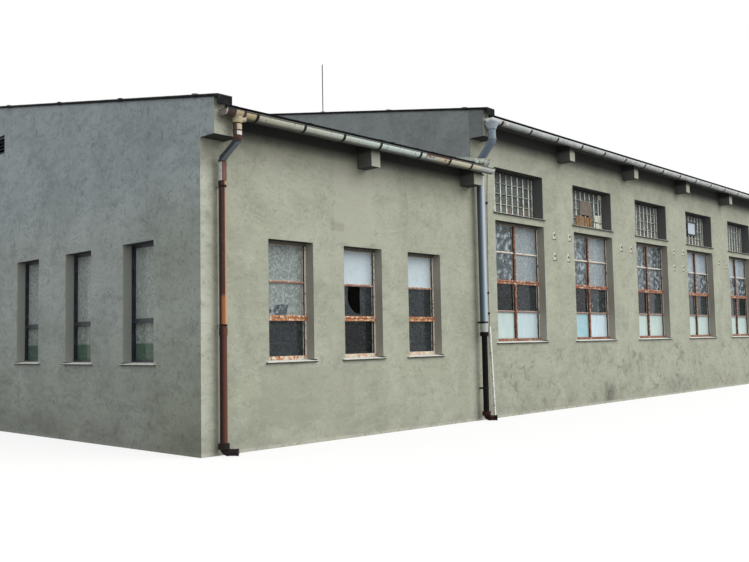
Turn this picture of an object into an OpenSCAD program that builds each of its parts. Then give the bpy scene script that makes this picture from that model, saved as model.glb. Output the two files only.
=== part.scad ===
// Factory building of one storey: a low wing with slit windows in its gable, and behind it
// a taller hall with tall steel windows and glass-block lights above them.
// The origin is on the ground at the middle of the plan, the front faces -Y, sizes in mm.

/* [Plan] */
// Depth of the building from its front face to its back face
depth = 14200; // [14000:50:14800]
// Length of the low wing along the front
wing_l = 6320; // [6250:10:6500]
// Number of window bays in the hall
bays = 6; // [2:1:6]
// Distance from one hall bay to the next
bay_pitch = 3065; // [2950:5:3200]
// Distance from the hall's corner to the middle of its first window
bay_first = 1685; // [1600:5:1800]
// Thickness of the outer walls
wall_t = 420; // [400:10:450]

/* [Roof] */
// Roof slope in degrees
slope = 10; // [8:0.5:11]
// Height of the wing's roof slab over its facade
wing_eaves = 4930; // [4900:10:5000]
// Height of the hall's roof slab over its facade
hall_eaves = 5932; // [5900:2:6000]
// Upright thickness of the roof slabs
slab_t = 130; // [110:5:150]
// How far the slabs stand out past the facades
eaves_out = 345; // [335:5:360]
// Thickness of the felt on the slabs
felt_t = 15; // [10:1:20]
// How far the felt is turned down over the slab's edge
felt_drip = 60; // [40:5:80]
// Height of the gable parapets above the slabs
parapet_h = 88; // [70:2:100]
// Thickness of the gable parapets
parapet_t = 195; // [150:5:250]
// Width of a roof beam
beam_w = 210; // [180:10:280]
// Width of the beam at the hall's gable
edge_beam_w = 280; // [210:10:290]
// Upright height of a roof beam under the slab, inside the building
beam_h = 320; // [280:10:340]
// Level of a beam's end, down from the eaves
beam_drop = 505; // [470:5:520]
// How far the beam ends and the gable kneelers stand out past the facades
beam_out = 330; // [300:5:335]
// Height of a gable kneeler
kneeler_h = 570; // [500:10:600]

/* [Verge covers] */
// Thickness of the covers on the gable walls
cap_t = 40; // [30:1:50]
// Overhang of a cover past each face of its wall
cap_side = 25; // [15:1:40]
// Length of a cover past the facade
cap_out = 450; // [430:5:480]
// Height of the turned-down end of a cover
cap_drop = 100; // [60:5:110]

/* [Wing windows] */
// Middle of the first wing window, from the wing's corner
wing_win_first = 1675; // [1600:5:1750]
// Distance from one wing window to the next
wing_win_pitch = 1590; // [1500:5:1650]
// Width of a wing window
wing_win_w = 910; // [860:10:950]
// Width of a gable slit window
slit_w = 860; // [800:10:900]
// Distance from one gable slit window to the next
slit_pitch = 1832; // [1800:2:1850]
// Sill height of the wing's windows
wing_sill = 1290; // [1200:10:1350]
// Head height of the wing's windows
wing_head = 3110; // [3000:10:3200]
// Height of the thick rail in the wing's windows
wing_rail = 1930; // [1850:10:2000]

/* [Hall windows] */
// Width of the hall's windows, lower and upper
hall_win_w = 1800; // [1700:10:1850]
// Sill height of the lower windows
hall_sill = 1496; // [1450:2:1550]
// Head height of the lower windows
hall_head = 3930; // [3850:10:3950]
// Sill height of the glass-block lights
light_sill = 4110; // [4100:2:4130]
// Head height of the glass-block lights
light_head = 5005; // [4950:5:5050]

/* [Window parts] */
// Depth of the frames behind the wall's face
frame_in = 165; // [120:5:180]
// Depth of a window frame
frame_d = 55; // [45:5:60]
// Face width of a frame's outer member
frame_w = 45; // [40:1:65]
// Face width of the thick rail and of the mullion
rail_w = 70; // [50:1:75]
// Thickness of a pane of glass
glass_t = 6; // [4:1:8]
// Depth of the glass blocks behind the wall's face
block_in = 240; // [200:5:260]
// Thickness of a glass-block panel
block_t = 80; // [60:5:100]
// Thickness of a window sill
sill_t = 40; // [30:1:50]
// How far a sill stands out from the wall
sill_nose = 40; // [25:1:60]
// How far a sill is let into the wall beside its window
sill_horn = 60; // [40:5:80]

/* [Rainwater goods] */
// Outer radius of the wing's half-round gutter
wing_gutter_r = 95; // [85:1:96]
// Outer radius of the hall's half-round gutter
hall_gutter_r = 80; // [70:1:90]
// Wall thickness of a gutter
gutter_t = 4; // [3:1:6]
// Height of the wing gutter's rim
wing_rim = 4772; // [4765:1:4785]
// Height of the hall gutter's rim
hall_rim = 5771; // [5765:1:5790]
// Radius of the corner downpipe
corner_pipe_r = 52; // [45:1:60]
// Radius of the hall downpipe
hall_pipe_r = 75; // [60:1:78]
// Radius of the cast pipe at the hall downpipe's foot
cast_pipe_r = 55; // [50:1:60]

/* [Hidden] */
$fn = 32;

// Places worked out from the plan, with x measured from the middle of the building.
hall_l = 2 * bay_first + (bays - 1) * bay_pitch;
half_l = (wing_l + hall_l) / 2;
half_d = depth / 2;
hall_x = wing_l - half_l;
hall_inner_x = hall_x + wall_t;
end_x = half_l - wall_t;
fall = tan(slope);
cut = 1;

wing_win_x = [for (i = [0:2]) wing_win_first + i * wing_win_pitch - half_l];
slit_y = [for (i = [-3:3]) i * slit_pitch];
bay_x = [for (i = [0:bays - 1]) hall_x + bay_first + i * bay_pitch];

// Roof beams: two in the wing, and in the hall one a little to the right of each pier's middle.
beam_shift = 110;
wing_beam_x = 3265 - half_l;
edge_beam_x = 6120 - half_l;
hall_beam_x = [for (i = [0:bays - 2]) bay_x[i] + bay_pitch / 2 + beam_shift];
// The wider beam's end lies higher than the others' by this much.
edge_beam_lift = 45;

// Gutters hang just clear of the felt's turned-down edge, on straps put up by eye.
strap_t = 5;
wing_gutter_x = [50 - half_l, 6360 - half_l];
hall_gutter_x = [hall_x + 30, half_l - 30];
wing_strap_x = [for (x = [600, 1500, 2330, 3170, 4185, 4995, 5635]) x - half_l];
hall_strap_x = [for (x = [hall_x + 400:1020:half_l - 200]) x];

// Distance of a gutter's middle from the middle of the building.
function gutter_y(r) = half_d + eaves_out + felt_t + strap_t + r;

// Places of the downpipes, and how far their axes stand off the wall.
corner_pipe_x = 300 - half_l;
corner_pipe_off = 110;
hall_pipe_x = 6440 - half_l;
hall_pipe_off = 140;

// Height of a roof plane that is at eaves over the facade, at a distance y from the ridge line.
function roof_z(eaves, y) = eaves + (half_d - abs(y)) * fall;

// Draws its children at the front and mirrored at the back.
module both_sides() {
    children();
    mirror([0, 1, 0]) children();
}

// Extrudes an outline drawn in Y and Z from x0 to x1.
module along_x(x0, x1) {
    translate([x0, 0, 0]) rotate([90, 0, 90]) linear_extrude(x1 - x0) children();
}

// Extrudes an outline drawn in X and Z, from y inwards by t.
module upright(y, t) {
    translate([0, y + t, 0]) rotate([90, 0, 0]) linear_extrude(t) children();
}

// Puts its children, drawn for a wall face in the XZ plane, on each place of the front.
module on_front(places) {
    for (x = places) translate([x, -half_d, 0]) children();
}

// Puts its children, drawn for a wall face in the XZ plane, on each slit of the wing's gable.
module on_gable(places) {
    for (y = places) translate([-half_l, y, 0]) rotate([0, 0, -90]) children();
}

// A layer that follows both slopes, from low to high above the slab, out to reach past the facades.
module roof_layer(eaves, low, high, reach) {
    e = half_d + reach;
    polygon([
        [-e, roof_z(eaves, e) + low], [0, roof_z(eaves, 0) + low], [e, roof_z(eaves, e) + low],
        [e, roof_z(eaves, e) + high], [0, roof_z(eaves, 0) + high], [-e, roof_z(eaves, e) + high]
    ]);
}

// Outline of a front wall's section: it ends under the sloping slab.
module long_wall_section(eaves) {
    inner = half_d - wall_t;
    polygon([
        [-half_d, 0], [-inner, 0],
        [-inner, roof_z(eaves, inner) - slab_t], [-half_d, roof_z(eaves, half_d) - slab_t]
    ]);
}

// Outline of a gable wall with a kneeler at each end, its top at a rise above the slab.
module gable_outline(eaves, rise) {
    top = eaves + rise;
    under = eaves + parapet_h - kneeler_h;
    out = half_d + beam_out;
    polygon([
        [-half_d, 0], [half_d, 0], [half_d, under], [out, under], [out, roof_z(top, out)],
        [0, roof_z(top, 0)], [-out, roof_z(top, out)], [-out, under], [-half_d, under]
    ]);
}

// A gable wall from x0 to x0 + wall_t, with its thinner parapet from parapet_x on.
module gable_wall(eaves, x0, parapet_x) {
    along_x(x0, x0 + wall_t) gable_outline(eaves, 0);
    along_x(parapet_x, parapet_x + parapet_t) gable_outline(eaves, parapet_h);
}

// A roof beam under both slopes, with level ends that run through the walls and out over the facades.
module beam(eaves, x, w, drop) {
    haunch = 400;
    e = half_d + beam_out;
    inner = half_d - wall_t;
    n = inner - haunch;
    under = eaves - drop;
    along_x(x - w / 2, x + w / 2) polygon([
        [-e, under], [-inner, under], [-n, roof_z(eaves, n) - slab_t - beam_h],
        [0, roof_z(eaves, 0) - slab_t - beam_h], [n, roof_z(eaves, n) - slab_t - beam_h],
        [inner, under], [e, under], [e, roof_z(eaves, e) - slab_t],
        [0, roof_z(eaves, 0) - slab_t], [-e, roof_z(eaves, e) - slab_t]
    ]);
}

module wing_beams() {
    beam(wing_eaves, wing_beam_x, beam_w, beam_drop);
    beam(wing_eaves, edge_beam_x, edge_beam_w, beam_drop - edge_beam_lift);
}

module hall_beams() {
    for (x = hall_beam_x) beam(hall_eaves, x, beam_w, beam_drop);
}

// A window's hole through the wall, with the bed of its sill.
module window_hole(w, low, high, sill_depth) {
    translate([-w / 2, -cut, low]) cube([w, wall_t + 2 * cut, high - low]);
    translate([-w / 2 - sill_horn, -cut, low - sill_t]) cube([w + 2 * sill_horn, sill_depth + cut, sill_t]);
}

// A sill with a weathered top, its nose in front of the wall.
module sill(w, low, sill_depth) {
    weathering = 12;
    along_x(-w / 2 - sill_horn, w / 2 + sill_horn) polygon([
        [-sill_nose, low - sill_t], [sill_depth, low - sill_t],
        [sill_depth, low - weathering], [-sill_nose, low - 2 * weathering]
    ]);
    along_x(-w / 2, w / 2) polygon([
        [-sill_nose, low - 2 * weathering], [sill_depth, low - weathering], [sill_depth, low]
    ]);
}

// The glazed fields of a window: columns side by side, below and above its thick rail.
module fields(w, low, high, columns, rail) {
    field_w = (w - 2 * frame_w - (columns - 1) * rail_w) / columns;
    below = [low + frame_w, rail - rail_w / 2];
    above = [rail + rail_w / 2, high - frame_w];
    for (i = [0:columns - 1], row = [below, above])
        translate([-w / 2 + frame_w + i * (field_w + rail_w), row[0]]) square([field_w, row[1] - row[0]]);
}

module window_frame(w, low, high, columns, rail) {
    upright(frame_in, frame_d) difference() {
        translate([-w / 2, low]) square([w, high - low]);
        fields(w, low, high, columns, rail);
    }
}

module window_glass(w, low, high, columns, rail) {
    upright(frame_in + (frame_d - glass_t) / 2, glass_t) fields(w, low, high, columns, rail);
}

module wing_frame(w) {
    window_frame(w, wing_sill, wing_head, 1, wing_rail);
}

module wing_glass(w) {
    window_glass(w, wing_sill, wing_head, 1, wing_rail);
}

module hall_frame() {
    window_frame(hall_win_w, hall_sill, hall_head, 2, (hall_sill + hall_head) / 2);
}

module hall_glass() {
    window_glass(hall_win_w, hall_sill, hall_head, 2, (hall_sill + hall_head) / 2);
}

module wing_long_wall() {
    difference() {
        along_x(wall_t - half_l, hall_x) long_wall_section(wing_eaves);
        on_front(wing_win_x) window_hole(wing_win_w, wing_sill, wing_head, frame_in);
        wing_beams();
    }
}

module hall_long_wall() {
    difference() {
        along_x(hall_inner_x, end_x) long_wall_section(hall_eaves);
        on_front(bay_x) {
            window_hole(hall_win_w, hall_sill, hall_head, frame_in);
            window_hole(hall_win_w, light_sill, light_head, block_in);
        }
        hall_beams();
    }
}

module wing_front_wall() {
    color("#a3a593") wing_long_wall();
}

module wing_back_wall() {
    color("#a3a593") mirror([0, 1, 0]) wing_long_wall();
}

module hall_front_wall() {
    color("#a3a593") hall_long_wall();
}

module hall_back_wall() {
    color("#a3a593") mirror([0, 1, 0]) hall_long_wall();
}

// Louvred vent high in the wing's gable, centred under the ridge.
vent_w = 1600;
vent_h = 360;
vent_low = 5250;

module wing_gable_wall() {
    color("#7d827c") difference() {
        gable_wall(wing_eaves, -half_l, -half_l);
        on_gable(slit_y) window_hole(slit_w, wing_sill, wing_head, frame_in);
        on_gable([0]) translate([-vent_w / 2, -cut, vent_low]) cube([vent_w, wall_t + 2 * cut, vent_h]);
    }
}

module gable_vent() {
    vent_d = 80;
    rim = 40;
    blades = 4;
    blade_t = 6;
    blade_w = vent_w - 2 * rim;
    blade_pitch = (vent_h - 2 * rim) / blades;
    color("#4b4d4c") on_gable([0]) translate([0, rim, vent_low]) {
        upright(0, vent_d) difference() {
            translate([-vent_w / 2, 0]) square([vent_w, vent_h]);
            translate([-blade_w / 2, rim]) square([blade_w, vent_h - 2 * rim]);
        }
        for (i = [0:blades - 1]) along_x(-blade_w / 2, blade_w / 2) translate([0, rim + i * blade_pitch])
            polygon([
                [0, 0], [blade_t, 0], [vent_d, blade_pitch - blade_t], [vent_d, blade_pitch],
                [vent_d - blade_t, blade_pitch]
            ]);
    }
}

module hall_gable_wall() {
    color("#7d827c") gable_wall(hall_eaves, hall_x, hall_x);
}

module hall_end_wall() {
    color("#7d827c") gable_wall(hall_eaves, end_x, half_l - parapet_t);
}

module wing_roof_slab() {
    color("#6f7069") along_x(wall_t - half_l, hall_x) roof_layer(wing_eaves, -slab_t, 0, eaves_out);
}

module hall_roof_slab() {
    color("#6f7069") along_x(hall_inner_x, end_x) roof_layer(hall_eaves, -slab_t, 0, eaves_out);
}

module wing_roof_beams() {
    color("#a3a593") wing_beams();
}

module hall_roof_beams() {
    color("#a3a593") hall_beams();
}

// A sheet that follows both slopes from low up to high, its ends turned down by drop over a lip's width.
module turned_down_layer(eaves, low, high, reach, lip, drop) {
    e = half_d + reach;
    n = e - lip;
    polygon([
        [-e, roof_z(eaves, e) - drop], [-n, roof_z(eaves, e) - drop], [-n, roof_z(eaves, n) + low],
        [0, roof_z(eaves, 0) + low], [n, roof_z(eaves, n) + low], [n, roof_z(eaves, e) - drop],
        [e, roof_z(eaves, e) - drop], [e, roof_z(eaves, e) + high], [0, roof_z(eaves, 0) + high],
        [-e, roof_z(eaves, e) + high]
    ]);
}

// Felt over both slopes, from parapet to parapet, turned down over the slab's edges.
module felt(eaves, x0, x1) {
    along_x(x0, x1) turned_down_layer(eaves, 0, felt_t, eaves_out + felt_t, felt_t, felt_drip);
}

module wing_roof_felt() {
    color("#3d3f40") felt(wing_eaves, parapet_t - half_l, hall_x);
}

module hall_roof_felt() {
    color("#3d3f40") felt(hall_eaves, hall_x + parapet_t, half_l - parapet_t);
}

// Strip that closes the joint of the wing's roof against the hall's gable.
module abutment_flashing() {
    foot_w = 140;
    sheet_t = 12;
    upstand = 130;
    color("#8b8d88") {
        along_x(hall_x - foot_w, hall_x) roof_layer(wing_eaves, felt_t, felt_t + sheet_t, eaves_out);
        along_x(hall_x - sheet_t, hall_x) roof_layer(wing_eaves, felt_t, felt_t + upstand, eaves_out);
    }
}

// Cover of a gable's parapet from x0 on, turned down at its two lower ends.
module verge_cover(eaves, x0) {
    along_x(x0 - cap_side, x0 + parapet_t + cap_side)
        turned_down_layer(eaves + parapet_h, 0, cap_t, cap_out, cap_t / 2, cap_drop);
}

module wing_verge_cover() {
    color("#33373b") verge_cover(wing_eaves, -half_l);
}

module hall_verge_cover() {
    color("#33373b") verge_cover(hall_eaves, hall_x);
}

module end_verge_cover() {
    color("#33373b") verge_cover(hall_eaves, half_l - parapet_t);
}

module wing_window_sills() {
    color("#b9b7aa") both_sides() on_front(wing_win_x) sill(wing_win_w, wing_sill, frame_in);
}

module gable_window_sills() {
    color("#b9b7aa") on_gable(slit_y) sill(slit_w, wing_sill, frame_in);
}

module hall_window_sills() {
    color("#b9b7aa") both_sides() on_front(bay_x) sill(hall_win_w, hall_sill, frame_in);
}

module upper_light_sills() {
    color("#b9b7aa") both_sides() on_front(bay_x) sill(hall_win_w, light_sill, block_in);
}

module wing_front_frames() {
    color("#b07d52") on_front(wing_win_x) wing_frame(wing_win_w);
}

module wing_back_frames() {
    color("#b07d52") mirror([0, 1, 0]) on_front(wing_win_x) wing_frame(wing_win_w);
}

module gable_frames() {
    color("#30353c") on_gable(slit_y) wing_frame(slit_w);
}

module hall_front_frames() {
    color("#96603c") on_front(bay_x) hall_frame();
}

module hall_back_frames() {
    color("#96603c") mirror([0, 1, 0]) on_front(bay_x) hall_frame();
}

module wing_front_glass() {
    color("#9fb2b8") on_front(wing_win_x) wing_glass(wing_win_w);
}

module wing_back_glass() {
    color("#9fb2b8") mirror([0, 1, 0]) on_front(wing_win_x) wing_glass(wing_win_w);
}

module gable_glass() {
    color("#9fb2b8") on_gable(slit_y) wing_glass(slit_w);
}

module hall_front_glass() {
    color("#9fb2b8") on_front(bay_x) hall_glass();
}

module hall_back_glass() {
    color("#9fb2b8") mirror([0, 1, 0]) on_front(bay_x) hall_glass();
}

module glass_block_panels() {
    on_front(bay_x) translate([-hall_win_w / 2, block_in, light_sill])
        cube([hall_win_w, block_t, light_head - light_sill]);
}

module front_glass_blocks() {
    color("#a4afaa") glass_block_panels();
}

module back_glass_blocks() {
    color("#a4afaa") mirror([0, 1, 0]) glass_block_panels();
}

// Half-round trough with a bead on its outer rim and closed ends.
module gutter(ends, rim, r) {
    bead_r = 8;
    translate([0, -gutter_y(r), rim]) {
        along_x(ends[0], ends[1]) difference() {
            union() {
                circle(r = r);
                translate([-r, 0]) circle(r = bead_r);
            }
            circle(r = r - gutter_t);
            translate([-r + bead_r, 0]) square([2 * r, r]);
            translate([-r - bead_r, bead_r]) square([2 * r, r]);
        }
        for (x = [ends[0], ends[1] - gutter_t]) along_x(x, x + gutter_t) difference() {
            circle(r = r);
            translate([-r, 0]) square([2 * r, r]);
        }
    }
}

module wing_gutters() {
    color("#b5b096") both_sides() gutter(wing_gutter_x, wing_rim, wing_gutter_r);
}

module hall_gutters() {
    color("#a9adab") both_sides() gutter(hall_gutter_x, hall_rim, hall_gutter_r);
}

// Flat-iron strap under a gutter, with its tail up the slab's edge.
module gutter_strap(x, rim, r) {
    strap_w = 30;
    tail = 70;
    translate([0, -gutter_y(r), rim]) along_x(x - strap_w / 2, x + strap_w / 2) {
        difference() {
            circle(r = r + strap_t);
            circle(r = r);
            translate([-2 * r, 0]) square([4 * r, 2 * r]);
        }
        translate([r, -cut]) square([strap_t, tail]);
    }
}

module gutter_brackets() {
    color("#3c3a38") both_sides() {
        for (x = wing_strap_x) gutter_strap(x, wing_rim, wing_gutter_r);
        for (x = hall_strap_x) gutter_strap(x, hall_rim, hall_gutter_r);
    }
}

// Straight round pipe drawn upwards from a point of its plane, leaning outwards by lean degrees,
// with a socket over the joint at each of the given heights.
module pipe_length(foot, lean, h, r, sockets) {
    socket_h = 50;
    translate(foot) rotate([0, 0, -lean]) rotate([-90, 0, 0]) {
        cylinder(h = h, r = r);
        for (z = sockets) translate([0, 0, z - socket_h / 2]) cylinder(h = socket_h, r = r + 4);
    }
}

// Round bend about a centre in its plane, from the angle start through turn degrees.
module pipe_bend(centre, start, turn, bend_r, r) {
    translate(centre) rotate([0, 0, start]) rotate_extrude(angle = turn) translate([bend_r, 0]) circle(r = r);
}

// Swan neck from under a gutter back to the wall, then down to foot. Its turning heights are in neck,
// and its distances from the wall, at the top and at the foot, in reach.
module downpipe(x, top, neck, foot, reach, r) {
    neck_top = neck[0];
    neck_low = neck[1];
    run = reach[0] - reach[1];
    lean = atan2(run, neck_top - neck_low);
    bend_r = 1.3 * r;
    tangent = bend_r * tan(lean / 2);
    side = bend_r * (1 - cos(lean));
    rise = bend_r * sin(lean) - tangent;
    slant = norm([run, neck_top - neck_low]) - 2 * tangent;
    top_h = top - neck_top - tangent;
    low_h = neck_low - tangent - foot;
    translate([x, -half_d - reach[1], 0]) rotate([90, 0, -90]) {
        pipe_length([run, neck_top + tangent], 0, top_h, r, [0]);
        pipe_bend([run - bend_r, neck_top + tangent], -lean, lean, bend_r, r);
        pipe_length([side, neck_low + rise], lean, slant, r, [0, slant]);
        pipe_bend([bend_r, neck_low - tangent], 180 - lean, lean, bend_r, r);
        pipe_length([0, foot], 0, low_h, r, [low_h]);
    }
}

// Shoe at a pipe's foot: a bell round the pipe, a bend, and a spout that lies just over the ground.
module shoe() {
    lip = 150;
    bead = 16;
    translate([0, 0, bell_z - bead / 2]) cylinder(h = bell_h, r = bell_r);
    rotate([0, 0, -shoe_turn]) translate([0, 0, bell_z]) {
        rotate([90, 0, 0]) pipe_bend([shoe_bend_r, 0], 180, 90, shoe_bend_r, shoe_r);
        translate([shoe_bend_r, 0, -shoe_bend_r]) rotate([0, 90, 0]) {
            cylinder(h = lip, r = shoe_r);
            for (h = [-bead / 2, lip - bead]) translate([0, 0, h]) cylinder(h = bead, r = shoe_r + 4);
        }
    }
}

// Ring around a pipe's axis, from z up.
module pipe_ring(z, r, h) {
    translate([0, 0, z]) cylinder(h = h, r = r);
}

// Puts its children, drawn about a downpipe's axis, at the corner's or at the hall's pipe.
module at_pipe(x, off) {
    translate([x, -half_d - off, 0]) children();
}

// Turning heights of the two necks, from the top.
corner_neck = [4370, 4165];
hall_neck = [5345, 4995];
outlet_h = 235;
outlet_r = 62;
hopper_h = 115;
hopper_r = 135;
ring_w = 8;
// Lower edge and height of each collar on the corner pipe.
collars = [[3790, 50], [1670, 112]];
shoe_r = 48;
shoe_bend_r = 53;
shoe_turn = 50;
bell_r = 80;
bell_h = 80;
bell_z = shoe_r + 6 + shoe_bend_r;
pipe_foot = bell_z + bell_h / 2;
// Top of the cast pipe, on which the hall downpipe stands.
cast_top = 1685;

module corner_downpipes() {
    color("#6d4a3c") both_sides() {
        downpipe(
            corner_pipe_x, wing_rim - wing_gutter_r - outlet_h, corner_neck, pipe_foot,
            [gutter_y(wing_gutter_r) - half_d, corner_pipe_off], corner_pipe_r);
        at_pipe(corner_pipe_x, corner_pipe_off) {
            shoe();
            for (c = collars) pipe_ring(c[0], corner_pipe_r + ring_w, c[1]);
        }
    }
}

module hall_downpipes() {
    color("#a5b0b6") both_sides() downpipe(
        hall_pipe_x, hall_rim - hall_gutter_r - hopper_h, hall_neck, cast_top,
        [gutter_y(hall_gutter_r) - half_d, hall_pipe_off], hall_pipe_r);
}

module hall_pipe_feet() {
    socket_h = 80;
    color("#3a3634") both_sides() at_pipe(hall_pipe_x, hall_pipe_off) {
        pipe_ring(cast_top - socket_h, hall_pipe_r + ring_w, socket_h);
        pipe_ring(pipe_foot, cast_pipe_r, cast_top - pipe_foot);
        shoe();
    }
}

// Sockets under the gutters: a long one on the wing and a funnel on the hall.
module gutter_outlets() {
    color("#b5b096") both_sides() {
        translate([corner_pipe_x, -gutter_y(wing_gutter_r), wing_rim - wing_gutter_r - outlet_h])
            cylinder(h = outlet_h, r = outlet_r);
        translate([hall_pipe_x, -gutter_y(hall_gutter_r), hall_rim - hall_gutter_r - hopper_h])
            cylinder(h = hopper_h, r1 = hall_pipe_r + ring_w, r2 = hopper_r);
    }
}

// Clip of a downpipe: a band and a stub to the wall.
module pipe_clip(z, r, off) {
    clip_h = 30;
    clip_t = 5;
    difference() {
        union() {
            pipe_ring(z, r + clip_t, clip_h);
            translate([-clip_h / 2, 0, z]) cube([clip_h, off, clip_h]);
        }
        pipe_ring(z - cut, r, clip_h + 2 * cut);
    }
}

module pipe_clips() {
    color("#4a4643") both_sides() {
        at_pipe(corner_pipe_x, corner_pipe_off)
            for (z = [3755, 1795]) pipe_clip(z, corner_pipe_r, corner_pipe_off);
        at_pipe(hall_pipe_x, hall_pipe_off) {
            pipe_clip(600, cast_pipe_r, hall_pipe_off);
            for (z = [1855, 4700]) pipe_clip(z, hall_pipe_r, hall_pipe_off);
        }
    }
}

// Rod on a saddle astride the hall's ridge.
module lightning_rod() {
    rod_x = 9170 - half_l;
    rod_r = 12;
    rod_top = 9250;
    saddle = 160;
    ridge = roof_z(hall_eaves, 0) + felt_t;
    color("#6e6f70") {
        along_x(rod_x - saddle / 2, rod_x + saddle / 2) polygon([
            [-saddle, ridge - saddle * fall], [0, ridge], [saddle, ridge - saddle * fall],
            [saddle, ridge - saddle * fall + 10], [rod_r * 2, ridge + 30], [-rod_r * 2, ridge + 30],
            [-saddle, ridge - saddle * fall + 10]
        ]);
        translate([rod_x, 0, ridge + 20]) cylinder(h = rod_top - ridge - 20, r = rod_r);
    }
}

// Steel angle over the foot of the lightning conductor beside the hall's downpipe: its top is held
// against the wall, and its foot stands out.
module conductor_guard() {
    guard_x = 6772 - half_l;
    guard_h = 1800;
    flange = 35;
    sheet_t = 4;
    foot_out = 75;
    face = half_d + flange;
    color("#c4c4b8") {
        along_x(guard_x, guard_x + flange) polygon([
            [-face, guard_h], [-face + sheet_t, guard_h],
            [-face + sheet_t - foot_out, 0], [-face - foot_out, 0]
        ]);
        along_x(guard_x, guard_x + sheet_t) polygon([
            [-face, guard_h], [-half_d, guard_h], [-half_d - foot_out, 0], [-face - foot_out, 0]
        ]);
    }
}

wing_gable_wall();
wing_front_wall();
wing_back_wall();
hall_gable_wall();
hall_front_wall();
hall_back_wall();
hall_end_wall();
wing_roof_slab();
hall_roof_slab();
wing_roof_beams();
hall_roof_beams();
wing_roof_felt();
hall_roof_felt();
abutment_flashing();
wing_verge_cover();
hall_verge_cover();
end_verge_cover();
wing_window_sills();
gable_window_sills();
hall_window_sills();
upper_light_sills();
wing_front_frames();
wing_back_frames();
gable_frames();
hall_front_frames();
hall_back_frames();
wing_front_glass();
wing_back_glass();
gable_glass();
hall_front_glass();
hall_back_glass();
front_glass_blocks();
back_glass_blocks();
gable_vent();
wing_gutters();
hall_gutters();
gutter_brackets();
corner_downpipes();
hall_downpipes();
hall_pipe_feet();
gutter_outlets();
pipe_clips();
lightning_rod();
conductor_guard();
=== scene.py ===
"""Factory building: a low wing and a taller hall, dressed for a studio render.

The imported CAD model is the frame. It carries the walls, slabs, beams, sills, gutters and pipes, which get
their finishes here. New pieces are the window steel and panes, the glass blocks and the mended places among
them, the felt's laps, welt and torn scraps, the verge covers' joints, the crumpled felt at the abutment, the
drill patches, the gutters' sleeves, the pipe fittings and the conductor's wire.
"""

import math
import random
from functools import cache
from typing import NamedTuple

import bmesh
import bpy
from bpy.props import FloatProperty, FloatVectorProperty, IntProperty, PointerProperty
from mathutils import Matrix, Vector, noise


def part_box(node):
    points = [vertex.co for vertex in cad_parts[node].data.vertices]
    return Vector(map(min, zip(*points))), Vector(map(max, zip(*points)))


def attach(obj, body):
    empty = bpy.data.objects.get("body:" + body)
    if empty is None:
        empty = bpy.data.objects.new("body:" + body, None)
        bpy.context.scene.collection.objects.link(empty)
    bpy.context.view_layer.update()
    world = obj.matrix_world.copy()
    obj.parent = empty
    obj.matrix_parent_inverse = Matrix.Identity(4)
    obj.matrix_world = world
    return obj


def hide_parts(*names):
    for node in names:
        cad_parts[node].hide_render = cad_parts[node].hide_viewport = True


bl_info = {
    "name": "Factory Building",
    "version": (1, 0, 0),
    "blender": (4, 5, 0),
    "location": "View3D > Sidebar > Factory",
    "description": "Dresses the factory building's CAD model and sets up its studio",
    "category": "Object",
}

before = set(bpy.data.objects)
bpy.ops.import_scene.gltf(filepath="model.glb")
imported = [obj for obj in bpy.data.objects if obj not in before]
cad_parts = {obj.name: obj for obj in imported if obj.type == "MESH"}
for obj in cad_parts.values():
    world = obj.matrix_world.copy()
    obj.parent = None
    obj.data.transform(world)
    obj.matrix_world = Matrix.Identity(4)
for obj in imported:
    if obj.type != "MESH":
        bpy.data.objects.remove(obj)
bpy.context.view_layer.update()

# Planes of the building, read from the frame, in metres
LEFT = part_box("wing_gable_wall")[0].x
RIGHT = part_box("hall_end_wall")[1].x
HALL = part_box("hall_gable_wall")[0].x
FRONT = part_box("wing_front_wall")[0].y
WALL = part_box("wing_gable_wall")[1].x - LEFT
FALL = math.tan(math.radians(10))
WING_EAVES = 4.93
HALL_EAVES = 5.932
PARAPET = 0.088
PARAPET_T = 0.195
WING_GUTTER_Y = FRONT - 0.46
HALL_GUTTER_Y = FRONT - 0.445
WING_GUTTER_R = 0.095
HALL_GUTTER_R = 0.080
WING_RIM = 4.772
HALL_RIM = 5.771
CORNER_PIPE = LEFT + 0.3
CORNER_PIPE_Y = FRONT - 0.11
HALL_PIPE = LEFT + 6.44
HALL_PIPE_Y = FRONT - 0.14
GUARD = LEFT + 6.79
BACK = Matrix.Scale(-1, 4, Vector((0, 1, 0)))
BOTH_SIDES = [Matrix.Identity(4), BACK]

# How far the felt's edge at the eaves stands in front of the wall
EAVES_REACH = 0.36

# Middles of the gutter straps: the wing's from its corner, the hall's first from its gable and then evenly
WING_STRAPS = [0.600, 1.500, 2.330, 3.170, 4.185, 4.995, 5.635]
HALL_STRAP, STRAP_SPACING = 0.400, 1.020


class Opening(NamedTuple):
    """A kind of window: its hole, its thick rail and its thin bars, in metres."""

    width: float
    sill: float
    head: float
    rail: float = 0.0
    columns: int = 1
    bars: tuple = ()


WING_WINDOW = Opening(0.91, 1.29, 3.11, 1.93, bars=(2.49,))
SLIT = Opening(0.86, 1.29, 3.11, 1.93)
HALL_WINDOW = Opening(1.80, 1.496, 3.93, 2.713, 2, (2.105, 3.32))
LIGHT = Opening(1.80, 4.11, 5.005)
WING_PLACES = [LEFT + 1.675 + 1.59 * i for i in range(3)]
SLIT_PLACES = [1.832 * i for i in range(-3, 4)]
BAY_PLACES = [HALL + 1.685 + 3.065 * i for i in range(6)]

# Depths behind the wall's face
FRAME_FACE = 0.165
FRAME_BACK = 0.220
PANE_FACE = 0.204
PANE_T = 0.006
FRAME_W = 0.045
RAIL_W = 0.070
BLOCK_FACE = 0.240
BLOCK_BACK = 0.320


# Finishes

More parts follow.
